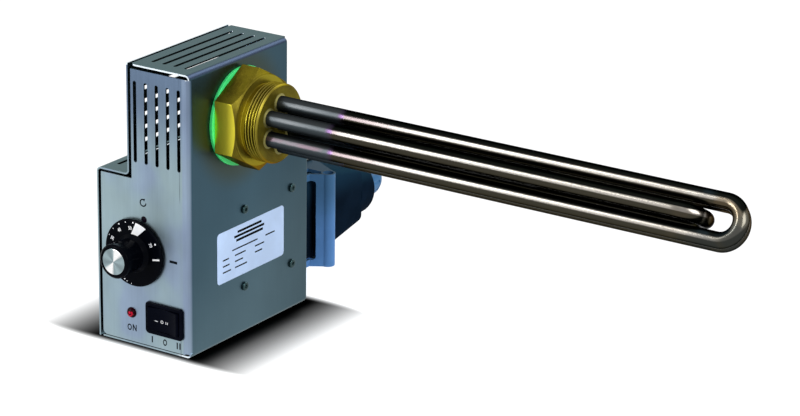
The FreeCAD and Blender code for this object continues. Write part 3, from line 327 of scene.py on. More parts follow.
def turnedBrass(name, look):
    # lathe rings round the X axis, and soft tarnish
    finish = Finish(name, look["colour"], look["roughness"], look["metal"],
                    Specular_Tint=(*look["grazing"], 1.0), Specular_IOR_Level=0.1)
    place = finish.place()
    x, y, z = finish.split(place)
    radius = (y * y + z * z).power(0.5)
    ringPlace = finish.node("ShaderNodeCombineXYZ", None, {0: x * 0.6, 1: radius, 2: 0.0})
    rings = finish.noise(ringPlace, look["rings"], 2.0, 0.5)
    cloud = finish.noise(place, 60.0, 4.0, 0.6)
    nx, ny, nz = finish.facing()

    def toEnd(start, end):
        return x.riseMm(-start, -end, plugHigh.x)

    colour = finish.blend(cloud.rise(0.35, 0.65), look["dull"], look["colour"])
    colour = finish.blend(rings.rise(0.45, 0.75) * 0.35, colour, look["bright"])

    # painted highlight on the crests of the thread, then painted lighter reflections on the flat faces that
    # point along +X and on the flats that face the front
    inner, full, fading, outer = look["ridgeRadii"]
    ridge = radius.riseMm(inner, full) * (1 - radius.riseMm(fading, outer)) * (1 - nx.size().rise(0.6, 0.9))
    ridge = ridge * (1 - 0.6 * toEnd(*look["lastRidge"]))
    colour = finish.blend(ridge * 0.8, colour, look["ridge"])
    ahead = nx.rise(0.92, 0.98)
    onThread = x.riseMm(0, 0.5, gasketHigh.x + look["threadStart"] * mm)
    atEnd = toEnd(*look["endPlane"])
    colour = finish.blend(ahead * (1 - atEnd), colour, look["annulus"])
    colour = finish.blend((0 - ny).rise(0.62, 0.95) * (0.85 - 0.40 * onThread), colour, look["front"])

    # warmer below, and painted shade dulling the upward faces above and behind
    low = (0 - nz).rise(0.3, 0.8) + (0 - z).riseMm(*look["lowFade"]) * 0.6
    colour = finish.blend(low.smaller(1) * 0.6 * (1 - 0.5 * ahead), colour, look["orange"])
    fade = nz.rise(0.5, 0.85) * y.riseMm(*look["rearFade"]) * radius.riseMm(*look["rearRadii"])
    colour = finish.blend(fade * 0.62, colour, look["dull"])
    finish.drive("Base Color", colour)
    finish.drive("Metallic", look["metal"] - look["endLoss"] * ahead * atEnd)
    finish.drive("Roughness", look["roughness"] + 0.10 * rings + 0.08 * cloud)
    return finish.bump(rings, 0.15, 0.05)


tubeLook = {
    # painted dark reflection on the upper side of the tube
    "upper": (0.005, 0.006, 0.005),
    "paintedHighlight": (0.140, 0.134, 0.124),     # painted highlight where the long soft light is mirrored
    "newBand": (0.066, 0.053, 0.055),  # the same painted highlight just past the heat tint
    "newReach": (14.0, 70.0),          # how far that lasts on the middle rods and on the others, in mm
    "middleRods": (2.0, 4.0, 9.0, 11.0),    # heights over which the middle rods' band comes and goes
    "farBand": (0.250, 0.232, 0.208),  # and towards the bend, where the painted highlight is brighter
    "farReach": (110.0, 290.0),
    "bendBand": (0.115, 0.108, 0.088),    # and round the bend itself
    "bendReach": (288.0, 310.0),
    # painted reflection of the floor on the lower side
    "lower": (0.046, 0.042, 0.030),
    # the same painted tones on the dull cold end
    "dullUpper": (0.030, 0.034, 0.036),
    "dullBand": (0.098, 0.106, 0.112),
    "dullLower": (0.046, 0.056, 0.062),
    "dullReach": (3.0, 20.0, 46.0),    # where the painted highlight on the dull end starts, is full and is faint again
    # rosy tint of the painted highlight on the low rods
    "rosy": (0.150, 0.095, 0.120),
    "lowRods": (-6.0, 4.0),            # heights between which the rosy tone ends
    "purple": (0.11, 0.05, 0.15),
    "gold": (0.105, 0.076, 0.044),
    "blue": (0.016, 0.028, 0.036),
    "bandLow": (0.08, 0.22),           # upward part of the surface normal where the painted highlight starts and ends
    "bandHigh": (0.55, 0.68),
    "tintPlace": 52.0,
    "tintWidth": 3.0,
    "bendTint": (266.0, 296.0),
    "grazing": (0.30, 0.30, 0.30),
    "polishedRoughness": 0.17,
    "dullRoughness": 0.40,
}


def heaterTube(name, look):
    # dull cold end by the plug, a narrow heat tint, then polished tube with heat tints at the bend; a painted
    # highlight and painted dark reflections run along all of it
    finish = Finish(name, look["lower"], look["polishedRoughness"], 1.0, Specular_Tint=(*look["grazing"], 1.0))
    place = finish.place()
    x, y, z = finish.split(place)
    nx, ny, nz = finish.facing()
    cloud = finish.noise(place, 35.0, 3.0, 0.5)
    lengthwise = finish.noise(finish.mapped(place, (0.02, 1, 1)), 1500.0, 3.0, 0.5)
    edge = look["tintPlace"] * mm
    wavy = x + (cloud - 0.5) * 5 * mm - y * 0.1
    hot = wavy.riseMm(-look["tintWidth"], look["tintWidth"], edge)
    tint = hot * (1 - hot) * 4
    upper = nz.rise(*look["bandHigh"])
    paintedHighlight = nz.rise(*look["bandLow"]) * (1 - upper) * (0 - ny).rise(-0.2, 0.3)

    # polished length: painted highlight over painted dark reflections
    low, lowFull, highFull, high = look["middleRods"]
    middle = z.riseMm(low, lowFull) * (1 - z.riseMm(highFull, high))
    near, far = [wavy.riseMm(0, reach, edge) for reach in look["newReach"]]
    bright = finish.blend(near * middle + far * (1 - middle), look["newBand"], look["paintedHighlight"])
    bright = finish.blend(x.riseMm(*look["farReach"]), bright, look["farBand"])
    bright = finish.blend(x.riseMm(*look["bendReach"]), bright, look["bendBand"])
    polished = finish.blend(paintedHighlight, finish.blend(upper, look["lower"], look["upper"]), bright)

    # cold end: the same painted tones, duller
    dull = finish.blend(upper, look["dullLower"], look["dullUpper"])
    start, full, faint = look["dullReach"]
    dulled = x.riseMm(start, full) * (1 - 0.6 * x.riseMm(full, faint))
    dull = finish.blend(paintedHighlight * dulled, dull, look["dullBand"])
    lowRods = 1 - z.riseMm(*look["lowRods"])
    dull = finish.blend(paintedHighlight * lowRods * cloud.rise(0.42, 0.55) * 0.6, dull, look["rosy"])

    # heat tints, the purple one stronger on the painted highlight
    colour = finish.blend(hot, dull, polished)
    bend = x.riseMm(*look["bendTint"])
    colour = finish.blend(bend * cloud.rise(0.5, 0.6) * 0.4, colour, look["blue"])
    colour = finish.blend(bend * (1 - cloud.rise(0.38, 0.5)) * (1 - upper) * 0.6, colour, look["gold"])
    colour = finish.blend(tint * (0.12 + 0.5 * paintedHighlight), colour, look["purple"])
    finish.drive("Base Color", colour)
    rough = look["dullRoughness"] * (1 - hot) + look["polishedRoughness"] * hot
    finish.drive("Roughness", rough + 0.05 * lengthwise + 0.06 * cloud)
    return finish.bump(lengthwise, 0.01, 0.01)


def moulded(name, colour, roughness, grain=1400.0, depth=0.06, paintedTop=None, high=None, cloudy=1.0, **fixed):
    # moulded plastic or rubber: fine texture and slightly uneven gloss, with a tone painted on upward faces for
    # how light falls on them;
    # high is a tone painted between two heights, for the same reason
    finish = Finish(name, colour, roughness, 0.0, **fixed)
    place = finish.place()
    fine = finish.noise(place, grain, 3.0, 0.6)
    cloud = finish.noise(place, 70.0, 3.0, 0.5)
    spread = 0.18 * cloudy
    light = tuple(min(1.0, c * (1 + spread) + 0.0005) for c in colour)
    dark = tuple(c * (1 - spread) for c in colour)
    tone = finish.blend(cloud.rise(0.3, 0.7), dark, light)
    if high:
        x, y, z = finish.split(place)
        tone = finish.blend(z.rise(high[1], high[2]), tone, high[0])
    if paintedTop:
        nx, ny, nz = finish.facing()
        tone = finish.blend(nz.rise(0.3, 0.9), tone, paintedTop)
    finish.drive("Base Color", tone)
    finish.drive("Roughness", roughness - 0.05 + 0.10 * fine + 0.05 * cloud)
    return finish.bump(fine, 0.25, depth)


def platedSteel(name, colour, roughness=0.30):
    finish = Finish(name, colour, roughness, 1.0)
    place = finish.place()
    fine = finish.noise(place, 1200.0, 3.0, 0.6)
    finish.drive("Roughness", roughness - 0.08 + 0.20 * fine)
    dark = tuple(c * 0.75 for c in colour)
    finish.drive("Base Color", finish.blend(fine.rise(0.3, 0.7), dark, colour))
    return finish.bump(fine, 0.08, 0.03)


capLook = {
    "colour": (0.33, 0.43, 0.46),
    "bright": (1.0, 1.0, 1.0),
    "roughness": 0.24,
    "bowAngle": 64.0,          # direction of the painted highlight fans, in degrees from +X
    "rings": 4500.0,
}


def spunCap(name, centre, look):
    # face-turned aluminium: fine rings round the dial's axis, and two painted highlight fans where the turned
    # face mirrors light
    finish = Finish(name, look["colour"], look["roughness"], 1.0, Anisotropic=0.75)
    dx, dz, radius = finish.around(centre)
    ringPlace = finish.node("ShaderNodeCombineXYZ", None, {0: radius, 1: 0.0, 2: 0.0})
    rings = finish.noise(ringPlace, look["rings"], 2.0, 0.5)
    turn = dz.maths("ARCTAN2", dz, dx) - math.radians(look["bowAngle"])
    bow = turn.maths("COSINE", turn)
    paintedFans = (bow * bow).rise(0.70, 0.97)
    side = turn.maths("SINE", turn * 5)
    colour = finish.shaded(look["colour"], 0.78 + 0.16 * rings + 0.16 * side)
    finish.drive("Base Color", finish.blend(paintedFans, colour, look["bright"]))
    return finish.bump(rings, 0.3, 0.04)


lensLook = {"dark": (0.018, 0.001, 0.003), "light": (0.62, 0.010, 0.040), "cells": 650.0, "rim": (1.5, 2.9)}


def facetedLens(name, centre, look):
    # cut prisms inside a red lens, their light and dark cells painted glints, with a dark edge
    finish = Finish(name, look["light"], 0.2, Specular_IOR_Level=0.05)
    radius = finish.around(centre)[2]
    cells = finish.node("ShaderNodeTexVoronoi", None, {"Vector": finish.place(), "Scale": look["cells"]},
                        "Distance")
    shade = (cells.rise(0.25, 0.7) + radius.riseMm(*look["rim"])).smaller(1)
    return finish.drive("Base Color", finish.blend(shade, look["light"], look["dark"]))


dialCentre = sum(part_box("dial_cap"), origin) / 2
lampCentre = sum(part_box("lamp_lens"), origin) / 2
plugLow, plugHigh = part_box("screw_plug")
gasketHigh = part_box("face_gasket")[1]
hoodLow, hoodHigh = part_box("plug_hood")
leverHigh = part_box("locking_lever")[1]

finishes = {
    "shell": brushedSteel("shellSteel", steelLook),
    "cutEdge": sheetEdge("cutEdge", cutLook),
    "screw": platedSteel("screwSteel", (0.085, 0.105, 0.11), 0.22),
    "faceScrew": platedSteel("blackenedScrew", (0.034, 0.068, 0.072), 0.16),
    "braze": platedSteel("brazeRing", (0.24, 0.22, 0.075), 0.55),
    "brass": turnedBrass("plugBrass", brassLook),
    "gasket": moulded("greenGasket", (0.060, 0.98, 0.24), 0.45, 900.0, 0.05),
    "tube": heaterTube("heaterTube", tubeLook),
    "ceramic": moulded("whiteCeramic", (0.80, 0.78, 0.72), 0.25, 500.0, 0.03),
    "dial": moulded("dialBlack", (0.0008, 0.0013, 0.0028), 0.16, 500.0, 0.005, Specular_IOR_Level=0.02),
    "cap": spunCap("spunCap", dialCentre, capLook),
    "red": facetedLens("lampRed", lampCentre, lensLook),
    "reset": moulded("resetButton", (0.0036, 0.0014, 0.0060), 0.25, 900.0, 0.01, Specular_IOR_Level=0.10),
    "dark": moulded("darkPlastic", (0.03, 0.03, 0.035), 0.45),
    "switch": moulded("switchBlack", (0.0010, 0.0016, 0.005), 0.26, 900.0, 0.01, Specular_IOR_Level=0.02),
    "pale": moulded("palePlastic", (0.55, 0.55, 0.50), 0.45),
    "rubber": moulded("blackRubber", (0.02, 0.02, 0.02), 0.60),
    # painted light: a lighter top and upper part on the hood
    "hood": moulded("hoodCoat", (0.0022, 0.0075, 0.0170), 0.75, 700.0, 0.12, (0.010, 0.036, 0.060),
                    ((0.0066, 0.024, 0.047), (hoodLow.z + hoodHigh.z) / 2 + 2 * mm, hoodHigh.z - 6 * mm),
                    Specular_IOR_Level=0.01),
    # painted shade: a darker top and upper part on the lever
    "lever": moulded("leverBlue", (0.088, 0.225, 0.50), 0.52, 900.0, 0.06, (0.022, 0.055, 0.085),
                     ((0.046, 0.128, 0.255), leverHigh.z - 42 * mm, leverHigh.z - 8 * mm), 0.4,
                     Specular_IOR_Level=0.10),
    "gland": moulded("glandBlue", (0.036, 0.135, 0.29), 0.35, 900.0, 0.05, Specular_IOR_Level=0.15),
    "label": moulded("labelWhite", (0.50, 0.665, 0.95), 0.40, 700.0, 0.01, cloudy=0.25),
    "ink": moulded("darkInk", (0.0025, 0.004, 0.006), 0.55, 700.0, 0.01, Specular_IOR_Level=0.02),
    "paint": moulded("whitePaint", (0.85, 0.90, 0.98), 0.45, 700.0, 0.01),
}
print("finishes:", len(finishes))


def linked(name, data):
    # an object with this data in the scene
    made = bpy.data.objects.new(name, data)
    bpy.context.scene.collection.objects.link(made)
    return made


def meshFrom(bm, name):
    mesh = bpy.data.meshes.new(name)
    bm.to_mesh(mesh)
    bm.free()
    return mesh


def pieceFrom(bm, name, finish, body=staticBody, sharp=30.0, weighted=True):
    # a new piece, its edges sharp above this angle in degrees
    mesh = meshFrom(bm, name)
    mesh.shade_smooth()
    mesh.set_sharp_from_angle(angle=math.radians(sharp))
    mesh.materials.append(finishes[finish].material)
    piece = linked(name, mesh)
    if weighted:
        modifier = piece.modifiers.new("flatFaces", "WEIGHTED_NORMAL")
        modifier.keep_sharp = True
    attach(piece, body)
    return piece


def joined(target, extra):
    mesh = meshFrom(extra, "extra")
    target.from_mesh(mesh)
    bpy.data.meshes.remove(mesh)


def vertsIn(made):
    return [item for item in made if isinstance(item, bmesh.types.BMVert)]


def edgesIn(made):
    return [item for item in made if isinstance(item, bmesh.types.BMEdge)]


def mergedCopy(node):
    # a CAD node's triangles merged into one closed mesh with plain flat faces
    bm = bmesh.new()
    bm.from_mesh(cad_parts[node].data)
    bmesh.ops.remove_doubles(bm, verts=bm.verts, dist=0.002 * mm)
    bmesh.ops.dissolve_limit(bm, angle_limit=math.radians(0.5), verts=bm.verts, edges=bm.edges)
    return bm


edgeLook = {
    "roundAbove": 40.0,        # angles in degrees from which an edge is rounded, and is shaded sharp
    "sharpAbove": 38.0,
    "cutAbove": 60.0,          # and which the edges beside a cut face have
    "cutMargin": 1.05,         # widest cut face, against the sheet's thickness
    "segments": 2,
}


def isCorner(edge, angle):
    return edge.is_manifold and edge.calc_face_angle(0.0) > math.radians(angle)


def markCutFaces(bm, thickness, look):
    # narrow faces between two sharp long edges are where the sheet was cut
    for face in bm.faces:
        edges = sorted(face.edges, key=lambda e: e.calc_length())[-2:]
        narrow = face.calc_area() / edges[-1].calc_length() < thickness * look["cutMargin"] * mm
        if narrow and all(isCorner(edge, look["cutAbove"]) for edge in edges):
            face.material_index = 1


def softened(node, name, finish, width, body=staticBody, sheet=0.0, look=edgeLook):
    # the CAD node's own shape with its sharp edges rounded by a width in mm; sheet is its thickness
    bm = mergedCopy(node)
    if sheet:
        markCutFaces(bm, sheet, look)
    corners = [edge for edge in bm.edges if isCorner(edge, look["roundAbove"])]
    bmesh.ops.bevel(bm, geom=corners, offset=width * mm, offset_type="OFFSET", segments=look["segments"],
                    profile=0.5, affect="EDGES", clamp_overlap=True, material=-1)
    piece = pieceFrom(bm, name, finish, body, look["sharpAbove"])
    if sheet:
        piece.data.materials.append(finishes["cutEdge"].material)
    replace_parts(piece, node)
    return piece


def sealed(bm, gap=0.001):
    # doubles merged, and then the faces turned outwards
    bmesh.ops.remove_doubles(bm, verts=bm.verts, dist=gap * mm)
    bmesh.ops.recalc_face_normals(bm, faces=bm.faces)
    return bm


def spun(profile, axisPoint, axis, side, steps=96):
    # profile: (distance along the axis, radius) pairs in mm, turned round the axis
    bm = bmesh.new()
    verts = [bm.verts.new(axisPoint + axis * along * mm + side * radius * mm) for along, radius in profile]
    edges = [bm.edges.new(pair) for pair in zip(verts, verts[1:])]
    bmesh.ops.spin(bm, geom=verts + edges, cent=axisPoint, axis=axis, angle=math.tau, steps=steps,
                   use_merge=True, use_duplicate=False)
    return sealed(bm)


def circleAcross(sides, radius):
    # circle round the X axis
    bm = bmesh.new()
    bmesh.ops.create_circle(bm, segments=sides, radius=radius)
    bmesh.ops.rotate(bm, cent=origin, matrix=Matrix.Rotation(math.radians(90), 3, "Y"), verts=bm.verts)
    return bm


def rectangle(width, height):
    # flat in the XY plane, sizes in mm
    bm = bmesh.new()
    bmesh.ops.create_grid(bm, x_segments=1, y_segments=1, size=0.5)
    bmesh.ops.scale(bm, vec=(width * mm, height * mm, 1), verts=bm.verts)
    return bm


def thickened(bm, depth):
    # a flat shape in the XY plane gets a thickness along +Z
    raised = bmesh.ops.extrude_face_region(bm, geom=list(bm.faces))["geom"]
    bmesh.ops.translate(bm, vec=(0, 0, depth * mm), verts=vertsIn(raised))
    bmesh.ops.recalc_face_normals(bm, faces=bm.faces)
    return bm


# nodes that keep their own mesh
plainNodes = {
    "screw": ["cover_screws", "terminal_pins", "thermostat_spindle", "contactor_bracket", "earth_stud",
              "lever_pins", "housing_screws"],
    "brass": ["lock_nut", "contact_pins"],
    "tube": ["sensor_pocket"],
    "ceramic": ["end_beads"],
    "dark": ["thermostat_body", "limiter_body", "lamp_holder", "contactor"],
    "pale": ["terminal_block", "socket_insert", "hood_insert"],
    "rubber": ["flange_gasket", "gland_seal"],
    "reset": ["reset_button"],
}
for finishName, nodeNames in plainNodes.items():
    for nodeName in nodeNames:
        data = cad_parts[nodeName].data
        data.materials.clear()
        data.materials.append(finishes[finishName].material)
print("plain nodes dressed")


# terminal box
softened("main_shell", "shell_sheet", "shell", 0.15, sheet=1.0)
softened("side_cover", "cover_sheet", "shell", 0.15, sheet=1.0)
softened("face_screws", "face_screw_heads", "faceScrew", 0.15)
print("terminal box")

labelLook = {
    "low": (26.0, 38.2),           # rear of the box's front corner and above its base, in mm
    "high": (93.6, 70.4),
    "thickness": 0.15,
    "corner": 2.4,
    "boldRows": [(0.88, 0.30, 0.66), (0.80, 0.25, 0.70), (0.72, 0.28, 0.68)],
    "rows": [(0.56, 0.22, 0.60), (0.56, 0.72, 0.86), (0.44, 0.08, 0.17), (0.44, 0.26, 0.42),
             (0.44, 0.56, 0.70), (0.32, 0.08, 0.18), (0.32, 0.26, 0.38), (0.32, 0.56, 0.67),
             (0.20, 0.08, 0.20), (0.20, 0.26, 0.44)],
    "boldHeight": 1.5,             # rows are their level, start and end as shares of the label
    "rowHeight": 0.9,
    "rowThickness": 0.02,
}


def plate(low, high, thickness, corner, lift):
    # rounded plate on the big face: low and high are (y, z) in mm from the box's corner
    bm = rectangle(high[0] - low[0], high[1] - low[1])
    if corner:
        bmesh.ops.bevel(bm, geom=list(bm.verts), offset=corner * mm, segments=6, profile=0.5,
                        affect="VERTICES", material=-1)
    thickened(bm, thickness)
    middle = Vector((lift, (low[0] + high[0]) / 2, (low[1] + high[1]) / 2)) * mm + boxCorner
    turn = Matrix(((0, 0, 1, 0), (1, 0, 0, 0), (0, 1, 0, 0), (0, 0, 0, 1)))
    bmesh.ops.transform(bm, matrix=Matrix.Translation(middle) @ turn, verts=bm.verts)
    return bm


def labelPlate(look):
    pieceFrom(plate(look["low"], look["high"], look["thickness"], look["corner"], 0.0), "label_plate", "label")
    rows = bmesh.new()
    span = look["high"][0] - look["low"][0]
    rise = look["high"][1] - look["low"][1]
    for height, rowSet in ((look["boldHeight"], look["boldRows"]), (look["rowHeight"], look["rows"])):
        for level, start, end in rowSet:
            z = look["low"][1] + level * rise
            low = (look["low"][0] + start * span, z - height / 2)
            high = (look["low"][0] + end * span, z + height / 2)
            joined(rows, plate(low, high, look["rowThickness"], 0, look["thickness"]))
    pieceFrom(rows, "label_bars", "ink", weighted=False)


labelPlate(labelLook)
print("label")


plugLook = {
    "hexWidth": 55.0,
    "hexSteps": 144,
    "chamferRadius": 27.2,
    "chamferAngle": 30.0,
    "hexLength": 14.7,
    "grooveLength": 3.2,
    "grooveRadius": 22.1,
    "threadRadius": 23.9,
    "threadPitch": 2.0,
    "threadDepth": 1.25,
    "threadProfile": [(0.0, 1.0), (0.08, 1.0), (0.42, 0.04), (0.5, 0.0), (0.58, 0.04), (0.92, 1.0),
                      (1.0, 1.0)],     # share of the pitch, and of the depth below the crest
    "threadSteps": 72,
    "threadChamfer": 1.0,
    "endHub": 8.0,             # radius of the ring of faces in the middle of the end face
    "spigotRadius": 20.0,
    "spigotEdge": 0.5,
    "edge": 0.25,
    "edgeAngle": 18.0,
}
hexBack = gasketHigh.x


def hexHead(look):
    # round prism drawn out to the hexagon's outline, its front edge following the turned cone
    bm = circleAcross(look["hexSteps"], 1.0)
    flat = look["hexWidth"] / 2
    slope = math.tan(math.radians(look["chamferAngle"]))
    length = look["hexLength"]
    chamfer, groove = look["chamferRadius"], look["grooveRadius"]

    def outline(vertex):
        angle = math.atan2(vertex.co.z, vertex.co.y)
        sector = (angle + math.pi / 6) % (math.pi / 3) - math.pi / 6
        return flat / math.cos(sector)

    rings = [list(bm.verts)]
    base = front = list(bm.edges)
    for step in range(4):
        made = bmesh.ops.extrude_edge_only(bm, edges=front)["geom"]
        rings.append(vertsIn(made))
        front = edgesIn(made)
    # back, front on the cone, foot of the cone, edge and end of the groove: largest radius and distance
    shapes = [(None, 0.0), (None, None), (chamfer, length), (groove, length),
              (groove, length + look["grooveLength"])]
    for ring, (limit, along) in zip(rings, shapes):
        for vertex in ring:
            radius = outline(vertex)
            forward = length - max(0.0, radius - chamfer) * slope if along is None else along
            if limit:
                radius = min(radius, limit)
            direction = Vector((0, vertex.co.y, vertex.co.z)).normalized()
            vertex.co = direction * radius * mm + xAxis * (hexBack + forward * mm)
    bmesh.ops.contextual_create(bm, geom=base)
    bmesh.ops.contextual_create(bm, geom=front)
    return sealed(bm, 0.01)


def helixThread(look):
    # one turn's section spun along the axis, then cut flat at both ends of the thread
    start = hexBack + (look["hexLength"] + look["grooveLength"]) * mm
    end = plugHigh.x - look["threadChamfer"] * mm
    pitch = look["threadPitch"]
    first = start - 2 * pitch * mm
    profile = [(first + share * pitch * mm, (look["threadRadius"] - below * look["threadDepth"]) * mm)
               for share, below in look["threadProfile"]]
    bm = bmesh.new()
    verts = [bm.verts.new((x, 0, z)) for x, z in profile]
    edges = [bm.edges.new(pair) for pair in zip(verts, verts[1:])]
    turns = math.ceil((end - start) / (pitch * mm)) + 3
    steps = look["threadSteps"]
    bmesh.ops.spin(bm, geom=verts + edges, cent=origin, axis=xAxis, dvec=(pitch * mm / steps, 0, 0),
                   angle=math.tau * turns, steps=steps * turns, use_merge=False, use_duplicate=False)
    bmesh.ops.remove_doubles(bm, verts=bm.verts, dist=0.005 * mm)
    for x, side in ((start, 1), (end, -1)):
        cut = bmesh.ops.bisect_plane(bm, geom=list(bm.verts) + list(bm.edges) + list(bm.faces),
                                     dist=0.0001 * mm, plane_co=(x, 0, 0), plane_no=(-side, 0, 0),
                                     clear_outer=True)["geom_cut"]
        bmesh.ops.contextual_create(bm, geom=edgesIn(cut))
    bmesh.ops.recalc_face_normals(bm, faces=bm.faces)
    return bm


def endFace(look):
    # chamfer over the last ridge and the flat end
    end = plugHigh.x / mm
    crest = look["threadRadius"]
    chamfer = look["threadChamfer"]
    root = crest - look["threadDepth"]
    return spun([(end - 2 * chamfer, 0.0), (end - 2 * chamfer, root), (end - chamfer, crest),
                 (end, crest - chamfer), (end, look["endHub"]), (end, 0.0)], origin, xAxis, zAxis, 120)


def spigot(look):
    # the round stub that goes through the box's wall and takes the lock nut
    start = plugLow.x / mm
    end = hexBack / mm + 1.0
    radius = look["spigotRadius"]
    edge = look["spigotEdge"]
    return spun([(start, 0.0), (start, radius - edge), (start + edge, radius), (end, radius), (end, 0.0)],
                origin, xAxis, zAxis)


hexPiece = pieceFrom(hexHead(plugLook), "plug_hexagon", "brass", sharp=20.0)
modifier = hexPiece.modifiers.new("edges", "BEVEL")
modifier.width = plugLook["edge"] * mm
modifier.segments = 2
modifier.limit_method = "ANGLE"
modifier.angle_limit = math.radians(plugLook["edgeAngle"])
hexPiece.modifiers.move(1, 0)
pieceFrom(helixThread(plugLook), "plug_thread", "brass", sharp=25.0)
pieceFrom(endFace(plugLook), "plug_end_face", "brass")
pieceFrom(spigot(plugLook), "plug_spigot", "brass")
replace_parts(hexPiece, "screw_plug")
softened("face_gasket", "green_gasket_ring", "gasket", 0.3)
print("screw plug")

loopLook = {
    "rodRadius": 4.7,
    "rodCircle": 12.7,
    "legAngles": {             # directions of each loop's two legs round the plug's axis, from +Y
        "front_heating_loop": (90, 210),
        "rear_heating_loop": (30, 270),
        "inner_heating_loop": (150, 330),
    },
    "sides": 40,
    "bendSteps": 48,
    "startInside": 3.0,
    "haloRadius": 5.9,         # ring of braze
    "haloHeight": 0.4,
    "haloSides": 40,
}


def hairpin(name, angles, look):
    # one closed tube: a leg out, the bend and the leg back
    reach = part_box(name)[1].x
    radius = look["rodRadius"] * mm
    circle = look["rodCircle"] * mm
    legs = [Vector((0, circle * math.cos(math.radians(a)), circle * math.sin(math.radians(a)))) for a in angles]
    span = legs[1] - legs[0]
    bendX = reach - radius - span.length / 2
    startX = plugHigh.x - look["startInside"] * mm
    bm = circleAcross(look["sides"], radius)
    bmesh.ops.translate(bm, vec=legs[0] + xAxis * startX, verts=bm.verts)
    start = list(bm.edges)
    bmesh.ops.contextual_create(bm, geom=start)

    def onward(edges, move):
        made = bmesh.ops.extrude_edge_only(bm, edges=edges)["geom"]
        bmesh.ops.translate(bm, vec=move, verts=vertsIn(made))
        return edgesIn(made)

    front = onward(start, xAxis * (bendX - startX))
    middle = (legs[0] + legs[1]) / 2 + xAxis * bendX
    made = bmesh.ops.spin(bm, geom=front, cent=middle, axis=xAxis.cross(span).normalized(), angle=math.pi,
                          steps=look["bendSteps"], use_duplicate=False)["geom_last"]
    back = onward(edgesIn(made), xAxis * (startX - bendX))
    bmesh.ops.contextual_create(bm, geom=back)
    piece = pieceFrom(sealed(bm), name + "_tube", "tube", weighted=False)
    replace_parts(piece, name)
    return legs


rodEnds = []
for loopName, loopAngles in loopLook["legAngles"].items():
    rodEnds += hairpin(loopName, loopAngles, loopLook)


def brazeRings(look):
    # a low ring of braze round each rod where it leaves the plug
    rings = bmesh.new()
    radius, outer, height = look["rodRadius"], look["haloRadius"], look["haloHeight"]
    profile = [(0.0, outer), (height * 0.5, outer - 0.5), (height, radius + 0.35),
               (height * 1.6, radius - 0.05)]
    for leg in rodEnds:
        joined(rings, spun(profile, leg + xAxis * plugHigh.x, xAxis, zAxis, look["haloSides"]))
    pieceFrom(rings, "braze_rings", "braze", weighted=False)


brazeRings(loopLook)
print("heating loops")


# controls
softened("switch_housing", "switch_frame", "switch", 0.15)
softened("switch_rocker", "rocker_button", "switch", 0.25, "rocker")

lampLook = {"neck": 3.05, "depth": 3.5, "rim": 3.30, "rimHeight": 0.45, "rimRound": 0.15, "dome": 2.95,
            "domeHeight": 2.1, "domeSteps": 10}


def lampDome(look):
    # neck, rim and a quarter turn of dome, round the lamp's axis
    depth, neck, rim, height, cut = [look[key] for key in ("depth", "neck", "rim", "rimHeight", "rimRound")]
    steps = [math.radians(90 / look["domeSteps"] * k) for k in range(look["domeSteps"] + 1)]
    dome = [(height + look["domeHeight"] * math.sin(a), look["dome"] * math.cos(a)) for a in steps]
    profile = [(-depth, 0.0), (-depth, neck), (0.0, neck), (0.0, rim), (height - cut, rim), (height, rim - cut)]
    seat = Vector((lampCentre.x, shellLow.y, lampCentre.z))
    return spun(profile + dome, seat, Vector((0, -1, 0)), zAxis, 48)


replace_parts(pieceFrom(lampDome(lampLook), "lamp_dome", "red"), "lamp_lens")
softened("control_dial", "dial_knob", "dial", 0.25, "dial")
softened("dial_cap", "dial_cap_disc", "cap", 0.08, "dial")
print("controls")


def words(text, height, width, bold, depth):
    curve = bpy.data.curves.new("words", "FONT")
    curve.offset = bold * mm
    curve.body = text
    curve.size = height * mm / 0.73            # capitals are 0.73 of the letter size
    curve.align_x = "CENTER"
    curve.align_y = "CENTER"
    curve.resolution_u = 4
    carrier = linked("words", curve)
    mesh = bpy.data.meshes.new_from_object(carrier.evaluated_get(bpy.context.evaluated_depsgraph_get()))
    bm = bmesh.new()
    bm.from_mesh(mesh)
    bpy.data.objects.remove(carrier)
    bpy.data.curves.remove(curve)
    bpy.data.meshes.remove(mesh)
    bmesh.ops.remove_doubles(bm, verts=bm.verts, dist=0.001 * mm)
    bmesh.ops.scale(bm, vec=(width, 1, 1), verts=bm.verts)
    return thickened(bm, depth)


def bar(length, width, depth):
    return thickened(rectangle(length, width), depth)


def dot(radius, depth):
    bm = bmesh.new()
    bmesh.ops.create_circle(bm, cap_ends=True, segments=16, radius=radius * mm)
    return thickened(bm, depth)


def sector(inner, outer, start, end, depth):
    # piece of a ring round the origin, or all of it, angles from +X
    bm = bmesh.new()
    turn = Matrix.Rotation(math.radians(start), 3, "Z")
    ends = [bm.verts.new(turn @ Vector((radius * mm, 0, 0))) for radius in (inner, outer)]
    edge = bm.edges.new(ends)
    bmesh.ops.spin(bm, geom=ends + [edge], cent=origin, axis=zAxis, angle=math.radians(end - start),
                   steps=max(4, int((end - start) / 4)), use_merge=end - start == 360, use_duplicate=False)
    return thickened(bm, depth)


def nought(height, width, stroke, depth):
    # upright ring
    bm = sector(height / 2 - stroke, height / 2, 0, 360, depth)
    bmesh.ops.scale(bm, vec=(width / height, 1, 1), verts=bm.verts)
    return bm


def resetArrow(radius, width, depth):
    # ring three quarters round with an arrow head
    bm = sector(radius - width / 2, radius + width / 2, 80, 360, depth)
    head = bmesh.new()
    bmesh.ops.create_circle(head, cap_ends=True, segments=3, radius=width * 1.5 * mm)
    thickened(head, depth)
    spot = Matrix.Rotation(math.radians(72), 4, "Z") @ Matrix.Translation((radius * mm, 0, 0))
    bmesh.ops.transform(head, matrix=spot, verts=head.verts)
    joined(bm, head)
    return bm


